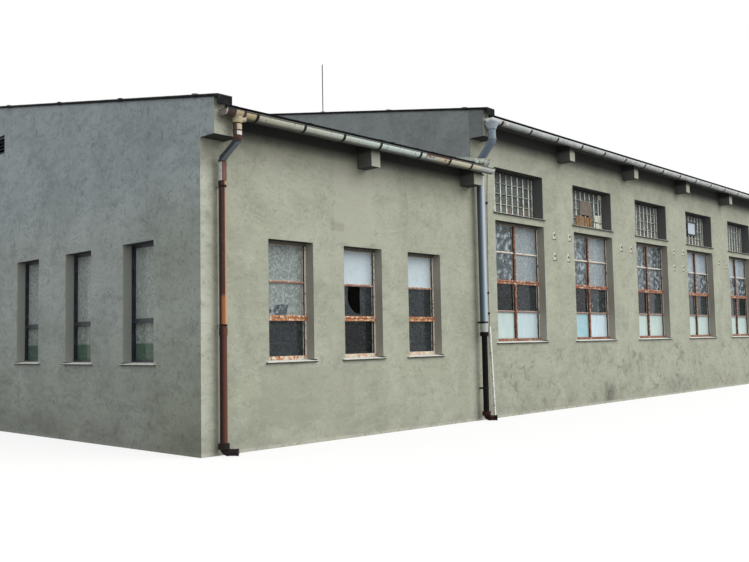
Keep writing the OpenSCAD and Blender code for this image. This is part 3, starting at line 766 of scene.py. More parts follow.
def bare_sleeve():
    """Sheet-steel sleeve on the corner pipe: bare zinc towards the corner, brown primer on its other half."""
    finish, place = start("sheet_sleeve_bare", 0.5, 0.2)
    side = pipe_side(place, CORNER_PIPE, CORNER_PIPE_Y)
    dull = patches(place, 0.05, 0.55, 0.08)
    primed = above(side, 0.004, 0.004)
    return covered(finish, "#b5b9b6", (dull, "#8d9190", 0.6), (primed, "#6a4437"))


def cast_iron():
    """Cast iron pipe with a tarred skin: black and dull, with rust-red at its foot."""
    finish, place = start("cast_iron_tarred", 0.8, shine=0.1)
    z = axes(place)[2]
    fleck = patches(place, 0.05, 0.62, 0.03)
    foot = all_of(below(z, 0.19, 0.01), patches(place, 0.08, 0.45, 0.08))
    return covered(finish, "#151415", (fleck, "#2a201b"), (foot, "#3d241d"), grain=(0.01, 0.001))


def bracket_iron():
    """Flat iron, bent and blackened: brown-black, rough."""
    finish, place = start("flat_iron_blackened", 0.8, shine=0.2)
    rust = patches(place, 0.04, 0.55, 0.04)
    return covered(finish, "#151313", (rust, "#31231e"))


def cream_enamel():
    """Sheet-metal fitting under cream paint: greyish with yellow places, chipped to rust."""
    finish, place = start("sheet_fitting_cream", 0.5)
    chip = patches(place, 0.05, 0.62, 0.02)
    yellow = patches(place, 0.07, 0.50, 0.05)
    return covered(finish, "#b8ad98", (yellow, "#b0a26f", 0.8), (chip, "#8a6040"))


def guard_paint():
    """Angle steel in thin white paint: dull white, rust showing through along its edges."""
    finish, place = start("angle_steel_white", 0.7)
    rust = patches(place, 0.05, 0.60, 0.03)
    dull = patches(place, 0.2, 0.5, 0.12)
    return covered(finish, "#eeeee8", (dull, "#b9bcb4", 0.5), (rust, "#7a5a48", 0.7))


def galvanised_wire():
    """Galvanised wire and rod: pale, weathered dull."""
    return covered(start("galvanised_wire_dull", 0.6)[0], "#d3d6d2")


def white_enamel():
    """Putty and white paint on small beads: off-white, matt."""
    finish, place = start("putty_painted_white", 0.7)
    dirt = patches(place, 0.08, 0.56, 0.05)
    return covered(finish, "#d2ccbf", (dirt, "#8f8273"))


def patch_plaster():
    """Repair plaster, smeared over drill holes: paler and smoother than the render."""
    finish, place = start("repair_plaster_smeared", 0.9)
    cloud = patches(place, 0.05, 0.5, 0.1)
    return covered(finish, "#cccdbd", (cloud, "#bcbdad"))


def pine_board():
    """Fibreboard, sawn: grey-brown, weathered."""
    finish, place = start("fibreboard_weathered", 0.9)
    stain = patches(place, 0.15, 0.52, 0.1)
    return covered(finish, "#69635a", (stain, "#7d7065"))


def clay_block():
    """Fired clay slips between glass blocks: orange-brown, rough."""
    finish, place = start("clay_fired", 0.9)
    stain = patches(place, 0.06, 0.52, 0.1)
    return covered(finish, "#94754f", (stain, "#6b5038"))


# Shapes

def block(bm, low, high):
    """Adds a box between two corners and returns its vertices."""
    low, high = Vector(low), Vector(high)
    verts = bmesh.ops.create_cube(bm, size=1.0)["verts"]
    bmesh.ops.scale(bm, vec=high - low, verts=verts)
    bmesh.ops.translate(bm, vec=(low + high) / 2, verts=verts)
    return verts


def tube(bm, low, high, radius, segments=28, top_radius=None):
    """Adds a closed cylinder, or a cone, between two points and returns its vertices."""
    low, high = Vector(low), Vector(high)
    run = high - low
    turn = Vector((0, 0, 1)).rotation_difference(run).to_matrix().to_4x4()
    return bmesh.ops.create_cone(
        bm, cap_ends=True, segments=segments, radius1=radius,
        radius2=radius if top_radius is None else top_radius, depth=run.length,
        matrix=Matrix.Translation((low + high) / 2) @ turn)["verts"]


def merged(bm, other):
    """Moves what is in another bmesh into bm."""
    mesh = bpy.data.meshes.new("merged")
    other.to_mesh(mesh)
    other.free()
    bm.from_mesh(mesh)
    bpy.data.meshes.remove(mesh)


def touching(verts):
    """Vertices together with all their edges and faces."""
    edges = {edge for vert in verts for edge in vert.link_edges}
    faces = {face for vert in verts for face in vert.link_faces}
    return [*verts, *edges, *faces]


def eased(bm, radius, segments=1):
    """Bevels every edge of what is in bm so far."""
    bmesh.ops.bevel(
        bm, geom=bm.edges[:] + bm.verts[:], offset=radius, segments=segments, profile=0.5,
        affect="EDGES", material=-1, clamp_overlap=True)


def repeated(bm, matrices):
    """Puts a copy of what is in bm at each of the matrices, in place of the first."""
    pattern = bm.copy()
    bm.clear()
    for matrix in matrices:
        copy = pattern.copy()
        copy.transform(matrix)
        merged(bm, copy)
    pattern.free()


def both_long_sides(places):
    """Matrices that take a shape to each place on the front walls' face and, mirrored, on the back's."""
    return [side @ Matrix.Translation((x, FRONT, 0)) for side in BOTH_SIDES for x in places]


def gable_places(places):
    """Matrices that take a shape to each place on the wing's gable."""
    turn = Matrix.Rotation(math.radians(-90), 4, "Z")
    return [Matrix.Translation((LEFT, y, 0)) @ turn for y in places]


def draped(verts, eaves):
    """Lifts flat-laid vertices onto a roof's two slopes."""
    for vert in verts:
        vert.co.z += eaves + (-FRONT - abs(vert.co.y)) * FALL


def finished(name, bm, finish, replaces=(), smooth=False):
    """Turns bm into a piece of the building that rides on its one body."""
    bmesh.ops.recalc_face_normals(bm, faces=bm.faces[:])
    mesh = bpy.data.meshes.new(name)
    for face in bm.faces:
        face.smooth = smooth
    bm.to_mesh(mesh)
    bm.free()
    piece = bpy.data.objects.new(name, mesh)
    bpy.context.scene.collection.objects.link(piece)
    mesh.materials.append(material(finish))
    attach(piece, "root")
    if replaces:
        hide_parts(*replaces)
    return piece


def at_each(places, name, bm, finish, replaces=()):
    """Turns bm into a piece that repeats it at each of the places."""
    repeated(bm, places)
    finished(name, bm, finish, replaces)


def field_edges(opening):
    """Left and right edges of a window's glazed columns, about its middle."""
    mullions = opening.columns - 1
    width = (opening.width - 2 * FRAME_W - mullions * RAIL_W) / opening.columns
    lefts = [-opening.width / 2 + FRAME_W + i * (width + RAIL_W) for i in range(opening.columns)]
    return [(left, left + width) for left in lefts]


def pane_rows(opening):
    """Lower and upper edges of a window's rows of panes, from the sill up."""
    rail, bar = RAIL_W / 2, 0.013
    cuts = sorted([(opening.rail - rail, opening.rail + rail)] + [(z - bar, z + bar) for z in opening.bars])
    lows = [opening.sill + FRAME_W] + [high for low, high in cuts]
    highs = [low for low, high in cuts] + [opening.head - FRAME_W]
    return list(zip(lows, highs))


def outer_frame(opening):
    """The two jambs and the head of a window."""
    bm = bmesh.new()
    half = opening.width / 2
    for left in (-half, half - FRAME_W):
        block(bm, (left, FRAME_FACE, opening.sill), (left + FRAME_W, FRAME_BACK, opening.head))
    left, right = -half + FRAME_W, half - FRAME_W
    block(bm, (left, FRAME_FACE, opening.head - FRAME_W), (right, FRAME_BACK, opening.head))
    eased(bm, 0.003)
    return bm


def rails(opening, gap, proud):
    """A window's meeting rails, with the gap between the fixed light and the casement, and its foot rail."""
    bm = bmesh.new()
    half = opening.width / 2
    height, foot_h, short = 0.038, FRAME_W + 0.012, 0.006
    upper, lower = opening.rail + gap / 2, opening.rail - gap / 2
    spans = [(upper, upper + height), (lower - height, lower), (opening.sill, opening.sill + foot_h)]
    for low, high in spans:
        block(bm, (-half, FRAME_FACE - proud, low), (half - short, FRAME_BACK, high))
    eased(bm, 0.004, 2)
    return bm


def thin_bars(opening, bar_w):
    """A window's thin glazing bars, across each column of panes."""
    bm = bmesh.new()
    for z in opening.bars:
        for left, right in field_edges(opening):
            block(bm, (left, FRAME_FACE + 0.004, z - bar_w / 2), (right, PANE_FACE, z + bar_w / 2))
    eased(bm, 0.004, 2)
    return bm


def mullion(opening, proud):
    """The upright between a hall window's two columns."""
    bm = bmesh.new()
    (_, left), (right, _) = field_edges(opening)
    low, high, face = opening.sill + FRAME_W, opening.head - FRAME_W, FRAME_FACE - proud
    inset, cover_t = 0.018, 0.010
    block(bm, (left, face, low), (right, FRAME_BACK, high))
    block(bm, (left + inset, face - cover_t, low), (right - inset, face, high))
    eased(bm, 0.003)
    return bm


def rim(bm, across, upright, width, near, far):
    """Adds four bars inside a rectangle's edges: two full uprights, and the two level bars between them."""
    (left, right), (low, high) = across, upright
    block(bm, (left, near, low), (left + width, far, high))
    block(bm, (right - width, near, low), (right, far, high))
    block(bm, (left + width, near, low), (right - width, far, low + width))
    block(bm, (left + width, near, high - width), (right - width, far, high))


def glazing_beads(opening, size):
    """Putty beads round the panes, on the outside of the glass."""
    bm = bmesh.new()
    for across in field_edges(opening):
        for upright in pane_rows(opening):
            rim(bm, across, upright, size, PANE_FACE - size, PANE_FACE)
    return bm


def pane(bm, left, right, low, high, outline=None):
    """Adds a sheet of glass, whole or with an outline in parts of its width and height; its vertices."""
    if outline is None:
        return block(bm, (left, PANE_FACE, low), (right, PANE_FACE + PANE_T, high))
    points = [Vector((left + u * (right - left), PANE_FACE, low + v * (high - low))) for u, v in outline]
    face = bm.faces.new([bm.verts.new(point) for point in points])
    swept = bmesh.ops.extrude_face_region(bm, geom=[face])
    moved = [item for item in swept["geom"] if isinstance(item, bmesh.types.BMVert)]
    bmesh.ops.translate(bm, vec=(0, PANE_T, 0), verts=moved)
    return moved + face.verts[:]


# What lies on a pane: the film's colour, and the share of the glass it covers. The films are dust together
# with painted reflection of sky, trees and grass; the last four are lime paint.
FILMS = {
    "clean": ("#5e686e", 0.06), "greyed": ("#7f8a92", 0.20), "sooty": ("#7f8a8f", 0.25),
    "dusty": ("#b0bec5", 0.34), "hazy": ("#8e9aa0", 0.62), "cloudy": ("#a7b8c4", 0.56),
    "chalky": ("#828c88", 0.79), "sky_reflection": ("#cddde5", 0.83), "ashen": ("#8f9893", 0.86),
    "green_reflection": ("#737f77", 0.80), "mint": ("#bdd2cc", 1.0), "milky": ("#bcd2d8", 1.0), "aqua": ("#8dc2cd", 1.0),
    "sky": ("#c9dfea", 1.0)}

# The film on each pane: for each window, its rows of panes upwards, and in a row the panes along the wall
WING_PANES = [
    ("greyed", "chalky", "chalky"), ("clean", "greyed", "sky_reflection"), ("greyed", "greyed", "sky_reflection")]
SLIT_PANES = [("green_reflection", "ashen")]
HALL_PANES = [
    ("mint milky", "clean greyed", "dusty hazy", "dusty hazy"),
    ("aqua sky", "clean sooty", "dusty hazy", "dusty hazy"),
    ("mint mint", "clean sooty", "dusty dusty", "dusty dusty"),
    ("mint mint", "sooty sooty", "dusty dusty", "cloudy cloudy"),
    ("mint mint", "sooty clean", "dusty dusty", "cloudy cloudy"),
    ("mint mint", "sooty sooty", "dusty dusty", "dusty dusty")]

# Outlines of the two broken panes, and of the inner sheet that shows through the first, as parts of a pane's
# width and height
CORNER_GONE = [
    (0.56, 0.0), (1.0, 0.0), (1.0, 1.0), (0.0, 1.0), (0.0, 0.15), (0.13, 0.25), (0.28, 0.31),
    (0.45, 0.34), (0.63, 0.335)]
CORNER_INSIDE = [(0.0, 0.0), (0.58, 0.0), (0.66, 0.36), (0.45, 0.36), (0.28, 0.33), (0.13, 0.27), (0.0, 0.17)]
TONGUE_GONE = [
    (0.0, 0.0), (1.0, 0.0), (1.0, 1.0), (0.64, 1.0), (0.64, 0.09), (0.56, 0.10), (0.48, 0.14),
    (0.41, 0.22), (0.36, 0.31), (0.31, 0.43), (0.285, 0.56), (0.28, 0.70), (0.29, 0.85), (0.31, 1.0),
    (0.0, 1.0)]


def panes(opening, places, rows, layout, broken=None):
    """All panes of a row of windows in the given rows of panes, each with its film: paint on the lowest hall
    panes, dust with painted reflection on the rest.

    The layout names the films of one window after another and starts anew on the back; broken maps
    (window, row) to an outline.
    """
    bm = bmesh.new()
    tint = bm.loops.layers.float_color.new("film")
    cover = bm.faces.layers.float.new("film_cover")
    for index, matrix in enumerate(places):
        for column, (left, right) in enumerate(field_edges(opening)):
            for row, (low, high) in enumerate(pane_rows(opening)):
                if row not in rows:
                    continue
                verts = pane(bm, left, right, low, high, (broken or {}).get((index, row)))
                bmesh.ops.transform(bm, matrix=matrix, verts=verts)
                hex_code, share = FILMS[layout[index % len(layout)][row].split()[column]]
                for face in {face for vert in verts for face in vert.link_faces}:
                    face[cover] = share
                    for loop in face.loops:
                        loop[tint] = colour(hex_code)
    return bm


# Properties

def length(name, description, default):
    """A property that holds a length in metres."""
    return FloatProperty(name=name, description=description, default=default, min=0.0, unit="LENGTH")


def colour_property(name, description, hex_code):
    """A property that holds a colour."""
    return FloatVectorProperty(
        name=name, description=description, default=colour(hex_code)[:3], min=0.0, max=1.0, size=3,
        subtype="COLOR")


class WallProperties(bpy.types.PropertyGroup):
    """Colours of the render and sizes of the drill patches on the long wall."""

    facade: colour_property("Facade", "Render on the long walls", "#a9ab98")
    gable: colour_property("Gable", "What the gable walls' shade makes of the render, as a tint", "#e1e9f9")
    # The reveals' colours hold painted shade: the long walls' a little darker than the facade, those round
    # the glass-block lights dark as under their lintels.
    reveal: colour_property("Reveal", "Render in the reveals of the long walls' windows", "#a19f95")
    gable_reveal: colour_property("Gable reveal", "Render in the reveals of the gable's windows", "#a0a49d")
    light_reveal_shade: colour_property("Light reveal", "Render round the glass-block lights", "#5f6160")
    patch_w: length("Patch width", "Width of a plaster patch round a drill hole", 0.12)
    hole_r: length("Hole radius", "Radius of a drill hole", 0.028)


class WindowProperties(bpy.types.PropertyGroup):
    """Sizes of the window steel that the CAD frames leave out."""

    bar_w: length("Bar face", "Face width of a thin glazing bar", 0.028)
    rail_gap: length("Rail gap", "Gap between the two meeting rails", 0.006)
    rail_proud: length("Rail stand", "How far the rails stand in front of the frame", 0.014)
    bead: length("Bead", "Size of a putty bead", 0.009)


class BlockProperties(bpy.types.PropertyGroup):
    """The glass blocks over the hall's windows."""

    block_w: length("Block width", "Distance between two upright joints", 0.211)
    block_h: length("Block height", "Distance between two level joints", 0.2155)
    last_w: length("Last block", "Distance between the two upright joints next to the hall's far end", 0.130)
    joint_w: length("Upright joint", "Width of an upright mortar joint", 0.030)
    joint_h: length("Level joint", "Height of the mortar in a level joint", 0.020)
    gap: length("Gap", "Raked-out gap at a block's top and at its far side", 0.022)
    recess: length("Joint recess", "How far the raked joints lie behind the blocks", 0.012)


class RoofProperties(bpy.types.PropertyGroup):
    """Sheets on the roofs and their edges."""

    felt_w: length("Felt width", "Cover width of a sheet of felt", 0.95)
    lap_w: length("Lap", "Width of the lap between two sheets", 0.09)
    lap_t: length("Lap height", "Height of a lap over the felt", 0.004)
    cover_l: length("Cover length", "Length of a verge cover sheet along the slope", 2.0)
    seed: IntProperty(name="Seed", description="Changes the crumples and torn edges", default=7, min=1)


class RainwaterProperties(bpy.types.PropertyGroup):
    """Fittings on the gutters and downpipes."""

    sleeve_w: length("Sleeve width", "Width of a gutter's joint sleeve", 0.06)
    wing_spacing: length("Wing spacing", "Distance between joint sleeves on the wing", 1.9)
    hall_spacing: length("Hall spacing", "Distance between joint sleeves on the hall", 3.0)
    ring_h: length("Ring height", "Height of a ring round a pipe", 0.016)


class StageProperties(bpy.types.PropertyGroup):
    """The studio: floor, light and camera."""

    floor_size: length("Floor", "Side of the floor", 240.0)
    floor_tone: colour_property(
        "Floor tone", "The floor's own colour, for the light that it throws back", "#6e6e6c")
    sun_power: FloatProperty(name="Sun", description="Strength of the soft sun", default=1.8, min=0.0)
    sky_power: FloatProperty(name="Sky", description="Strength of the studio's sky", default=0.95, min=0.0)
    lens: FloatProperty(name="Lens", description="Focal length of the camera", default=41.19, unit="CAMERA")


# Operators

NODE_FINISHES = {
    cement_render: [
        "wing_gable_wall", "wing_front_wall", "wing_back_wall", "hall_gable_wall", "hall_front_wall",
        "hall_back_wall", "hall_end_wall"],
    beam_render: ["wing_roof_beams", "hall_roof_beams"],
    cast_concrete: ["wing_roof_slab", "hall_roof_slab"],
    sill_concrete: ["wing_window_sills", "gable_window_sills", "hall_window_sills", "upper_light_sills"],
    roofing_felt: ["wing_roof_felt", "hall_roof_felt"],
    crumpled_felt: ["abutment_flashing"],
    verge_felt: ["wing_verge_cover", "hall_verge_cover", "end_verge_cover"],
    peeling_white: ["wing_front_frames", "wing_back_frames"],
    red_rust: ["hall_front_frames", "hall_back_frames"],
    anthracite_steel: ["gable_frames", "gable_vent"],
    glass_dust_and_reflection: [
        "wing_front_glass", "wing_back_glass", "gable_glass", "hall_front_glass", "hall_back_glass"],
    shadow_joint: ["front_glass_blocks", "back_glass_blocks"],
    wing_gutter_paint: ["wing_gutters"],
    outlet_paint: ["gutter_outlets"],
    guard_paint: ["conductor_guard"],
    zinc_gutter: ["hall_gutters"],
    bracket_iron: ["gutter_brackets", "pipe_clips", "lightning_rod"],
    rusty_pipe: ["corner_downpipes"],
    blue_zinc: ["hall_downpipes"],
    cast_iron: ["hall_pipe_feet"],
}


class FACTORY_OT_finish_nodes(bpy.types.Operator):
    """Gives every CAD node its finish"""

    bl_idname = "factory.finish_nodes"
    bl_label = "Finish the CAD nodes"

    def execute(self, context):
        for finish, names in NODE_FINISHES.items():
            for name in names:
                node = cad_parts[name]
                for slot in node.material_slots:
                    slot.material = material(finish)
                if not node.material_slots:
                    node.data.materials.append(material(finish))
        bare = [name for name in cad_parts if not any(name in names for names in NODE_FINISHES.values())]
        if bare:
            raise RuntimeError(f"No finish is set for {bare}")
        return {"FINISHED"}


class FACTORY_OT_wing_windows(bpy.types.Operator):
    """Builds the steel and the panes of the wing's front and back windows"""

    bl_idname = "factory.wing_windows"
    bl_label = "Wing windows"

    def execute(self, context):
        sizes = context.scene.factory_windows
        places = both_long_sides(WING_PLACES)
        at_each(places, "wing_window_jambs", outer_frame(WING_WINDOW), peeling_white,
                ["wing_front_frames", "wing_back_frames"])
        for name, bm, finish in [
            ("wing_window_rails", rails(WING_WINDOW, sizes.rail_gap, sizes.rail_proud), orange_rust),
            ("wing_window_bars", thin_bars(WING_WINDOW, sizes.bar_w), pink_primer),
            ("wing_window_beads", glazing_beads(WING_WINDOW, sizes.bead), white_enamel),
        ]:
            at_each(places, name, bm, finish)
        broken = {(0, 1): CORNER_GONE, (1, 1): TONGUE_GONE}
        glass = panes(WING_WINDOW, places, (0, 1, 2), WING_PANES, broken)
        finished("wing_window_panes", glass, glass_dust_and_reflection,
                 ["wing_front_glass", "wing_back_glass"])
        pane_gap = 0.010
        behind = Matrix.Translation((0, pane_gap, 0)) @ places[0]
        inner = panes(WING_WINDOW, [behind], (1,), [("clean", "dusty", "clean")], {(0, 1): CORNER_INSIDE})
        finished("wing_inner_pane", inner, glass_dust_and_reflection)
        return {"FINISHED"}


class FACTORY_OT_gable_windows(bpy.types.Operator):
    """Builds the casement rims and the panes of the gable's slit windows"""

    bl_idname = "factory.gable_windows"
    bl_label = "Gable windows"

    def execute(self, context):
        bm = bmesh.new()
        half, gap, rim_w, rim_t = SLIT.width / 2, 0.003, 0.030, 0.010
        for upright in [(SLIT.sill, SLIT.rail - gap), (SLIT.rail + gap, SLIT.head)]:
            rim(bm, (-half, half), upright, rim_w, FRAME_FACE - rim_t, FRAME_FACE)
        at_each(gable_places(SLIT_PLACES), "gable_casement_rims", bm, anthracite_steel)
        glass = panes(SLIT, gable_places(SLIT_PLACES), (0, 1), SLIT_PANES)
        finished("gable_panes", glass, glass_dust_and_reflection, ["gable_glass"])
        return {"FINISHED"}


class FACTORY_OT_hall_windows(bpy.types.Operator):
    """Builds the steel and the panes of the hall's tall windows"""

    bl_idname = "factory.hall_windows"
    bl_label = "Hall windows"

    def execute(self, context):
        sizes = context.scene.factory_windows
        places = both_long_sides(BAY_PLACES)
        at_each(places, "hall_window_jambs", outer_frame(HALL_WINDOW), peeling_white,
                ["hall_front_frames", "hall_back_frames"])
        for name, bm, finish in [
            ("hall_window_rails", rails(HALL_WINDOW, sizes.rail_gap, sizes.rail_proud), red_rust),
            ("hall_window_mullions", mullion(HALL_WINDOW, 0.006), red_rust),
            ("hall_window_bars", thin_bars(HALL_WINDOW, sizes.bar_w), peeling_white),
        ]:
            at_each(places, name, bm, finish)
        beads = glazing_beads(HALL_WINDOW, sizes.bead)
        at_each(places, "hall_window_beads", beads, white_enamel)
        clear = panes(HALL_WINDOW, places, (1, 2, 3), HALL_PANES)
        finished("hall_window_panes", clear, glass_dust_and_reflection,
                 ["hall_front_glass", "hall_back_glass"])
        limewashed = panes(HALL_WINDOW, places, (0,), HALL_PANES)
        finished("hall_painted_panes", limewashed, painted_glass)
        return {"FINISHED"}


# Where two of the front's lights are mended: corners as distance along the wall and height, by bay
MENDED = {1: ((10.88, 4.425), (11.42, 4.745)), 3: ((16.95, 4.42), (17.54, 4.81))}


class FACTORY_OT_glass_blocks(bpy.types.Operator):
    """Builds the glass-block lights with their joints"""

    bl_idname = "factory.glass_blocks"
    bl_label = "Glass-block lights"

    def execute(self, context):
        sizes = context.scene.factory_blocks
        places = both_long_sides(BAY_PLACES)
        half = LIGHT.width / 2
        first_joint = half - 0.045
        uprights = [first_joint, first_joint - sizes.last_w]
        while uprights[-1] > -half + sizes.block_w:
            uprights.append(uprights[-1] - sizes.block_w)
        near, far = sizes.joint_w / 2 + 0.002, sizes.joint_w / 2 + sizes.gap
        spans = [(left + near, right - far) for left, right in zip(uprights[1:] + [-half - near], uprights)]
        rows = int((LIGHT.head - LIGHT.sill) / sizes.block_h)
        lows = [LIGHT.sill + row * sizes.block_h for row in range(rows)]
        highs = lows[1:] + [LIGHT.head + sizes.gap]
        courses = [(low + sizes.joint_h, high - sizes.gap) for low, high in zip(lows, highs)]

        # Painted shade: the raked joints behind the blocks are near black.
        bm = bmesh.new()
        near_y, far_y = BLOCK_FACE + sizes.recess, BLOCK_BACK - sizes.recess
        block(bm, (-half, near_y, LIGHT.sill), (half, far_y, LIGHT.head))
        at_each(places, "block_raked_joints", bm, shadow_joint,
                ["front_glass_blocks", "back_glass_blocks"])

        bm = bmesh.new()
        for index, matrix in enumerate(places):
            for left, right in spans:
                for low, high in courses:
                    if not self.mended(index, (left + right) / 2, (low + high) / 2):
                        verts = block(bm, (left, BLOCK_FACE, low), (right, BLOCK_BACK, high))
                        bmesh.ops.transform(bm, matrix=matrix, verts=verts)
        eased(bm, 0.008)
        finished("pressed_glass_blocks", bm, pressed_block)

        bm = bmesh.new()
        face = BLOCK_FACE + 0.004
        for middle in uprights:
            for low in lows:
                block(bm, (middle - sizes.joint_w / 2, face, low + sizes.joint_h),
                      (middle + sizes.joint_w / 2, BLOCK_BACK - 0.004, min(low + sizes.block_h, LIGHT.head)))
        at_each(places, "block_upright_joints", bm, lime_mortar)

        bm = bmesh.new()
        for low in lows[1:]:
            block(bm, (-half, face + 0.001, low), (half, BLOCK_BACK - 0.005, low + sizes.joint_h))
        at_each(places, "block_level_joints", bm, grey_mortar)
        return {"FINISHED"}

    @staticmethod
    def mended(bay, x, z):
        """Whether the middle of a block lies where a light is mended."""
        if bay not in MENDED:
            return False
        (left, low), (right, high) = MENDED[bay]
        return left < BAY_PLACES[bay] - LEFT + x < right and low < z < high


class FACTORY_OT_mended_lights(bpy.types.Operator):
    """Builds the board, the clay slips and the small casement in two of the front's lights"""

    bl_idname = "factory.mended_lights"
    bl_label = "Mended lights"

    def execute(self, context):
        face = FRONT + BLOCK_FACE
        bm = bmesh.new()
        (left, low), (right, high) = MENDED[1]
        block(bm, (LEFT + left, face - 0.016, low), (LEFT + right, face + 0.006, high))
        eased(bm, 0.004)
        finished("light_mending_board", bm, pine_board)

        bm = bmesh.new()
        for slip in range(6):
            x = LEFT + 10.72 + slip * 0.125
            block(bm, (x, face - 0.010, LIGHT.sill + 0.01), (x + 0.095, face + 0.01, 4.39))
        eased(bm, 0.006)
        finished("light_clay_slips", bm, clay_block)

        bm = bmesh.new()
        for left, low, right, high in [
            (11.56, 4.30, 11.93, 4.47), (11.60, 4.16, 11.95, 4.27), (11.79, 4.86, 11.96, 4.98),
        ]:
            block(bm, (LEFT + left, face - 0.014, low), (LEFT + right, face + 0.01, high))
        bmesh.ops.subdivide_edges(bm, edges=bm.edges[:], cuts=5, use_grid_fill=True)
        # Vector noise starts from the clock unless it is seeded, and again with 0 as its seed
        noise.seed_set(context.scene.factory_roof.seed)
        for vert in bm.verts:
            vert.co += noise.noise_vector(vert.co * 9.0) * 0.02
            vert.co.y = max(vert.co.y, face - 0.03)
        finished("light_plaster_lumps", bm, patch_plaster, smooth=True)

        bm = bmesh.new()
        (left, low), (right, high) = MENDED[3]
        left, right, front, rim_w = LEFT + left, LEFT + right, face - 0.02, 0.035
        rim(bm, (left, right), (low, high), rim_w, front, front + 0.05)
        eased(bm, 0.003)
        finished("light_casement_rim", bm, anthracite_steel)

        bm = bmesh.new()
        block(bm, (left + rim_w, face, low + rim_w), (right - rim_w, face + PANE_T, high - rim_w))
        finished("light_casement_pane", bm, opal_glass)
        return {"FINISHED"}


def folded(bm, low, high, eaves):
    """Adds a box between two corners, creased at the ridge and draped on a roof's two slopes."""
    verts = block(bm, low, high)
    cut = bmesh.ops.bisect_plane(bm, geom=touching(verts), plane_co=(0, 0, 0), plane_no=(0, 1, 0))
    ridge = [item for item in cut["geom_cut"] if isinstance(item, bmesh.types.BMVert)]
    draped(verts + ridge, eaves)


class FACTORY_OT_roof_sheets(bpy.types.Operator):
    """Lays the felt's laps, the ridge strips and the joints of the verge covers"""

    bl_idname = "factory.roof_sheets"
    bl_label = "Roof sheets"

    def execute(self, context):
        sizes = context.scene.factory_roof
        bm = bmesh.new()
        reach, strip_reach = -FRONT + 0.35, 0.25
        felt_top = 0.015
        lap_top, strip_top = felt_top + sizes.lap_t, felt_top + 2 * sizes.lap_t
        for eaves, start_x, end_x in [
            (WING_EAVES, LEFT + PARAPET_T, HALL - 0.14), (HALL_EAVES, HALL + PARAPET_T, RIGHT - PARAPET_T),
        ]:
            x = start_x + sizes.felt_w
            while x < end_x - 0.1:
                folded(bm, (x, -reach, felt_top), (x + sizes.lap_w, reach, lap_top), eaves)
                x += sizes.felt_w
            folded(bm, (start_x, -strip_reach, lap_top), (end_x, strip_reach, strip_top), eaves)
        finished("roof_felt_laps", bm, roofing_felt)

        bm = bmesh.new()
        side, low, high, half = 0.029, -0.003, 0.052, 0.05
        end = -FRONT + 0.45
        for eaves, left in [(WING_EAVES, LEFT), (HALL_EAVES, HALL), (HALL_EAVES, RIGHT - PARAPET_T)]:
            y = sizes.cover_l / 2
            while y < end - 0.2:
                for middle in (-y, y):
                    near = (left - side, middle - half, low)
                    far = (left + PARAPET_T + side, middle + half, high)
                    draped(block(bm, near, far), eaves + PARAPET)
                y += sizes.cover_l
        finished("verge_cover_joints", bm, verge_felt)
        return {"FINISHED"}


class FACTORY_OT_torn_edges(bpy.types.Operator):
    """Adds the folded welt and the torn scraps of felt along the eaves"""

    bl_idname = "factory.torn_edges"
    bl_label = "Torn felt edges"

    def execute(self, context):
        chance = random.Random(context.scene.factory_roof.seed)
        bm = bmesh.new()
        edge_y, half_welt = FRONT - EAVES_REACH, 0.008
        for eaves, start_x, end_x, welt_h in [
            (WING_EAVES, LEFT + PARAPET_T, HALL - 0.1, 0.018),
            (HALL_EAVES, HALL + PARAPET_T, RIGHT - PARAPET_T, 0.032),
        ]:
            drip = eaves - EAVES_REACH * FALL
            for y in (edge_y, -edge_y):
                block(bm, (start_x, y - half_welt, drip), (end_x, y + half_welt, drip + welt_h))
            x = start_x + 0.1
            while x < end_x - 0.25:
                long, deep = chance.uniform(0.05, 0.22), chance.uniform(0.008, 0.022)
                for y in (edge_y, -edge_y):
                    low = (x, y - 0.006, drip + 0.004 - deep * 0.3)
                    verts = block(bm, low, (x + long, y + 0.018, drip + 0.012 + deep))
                    turn = Matrix.Rotation(chance.uniform(-0.06, 0.06), 4, "Y")
                    bmesh.ops.rotate(bm, cent=Vector(low), matrix=turn, verts=verts)
                x += long + chance.uniform(0.1, 0.9)
        eased(bm, 0.003)
        finished("eaves_felt_scraps", bm, roofing_felt)
        return {"FINISHED"}


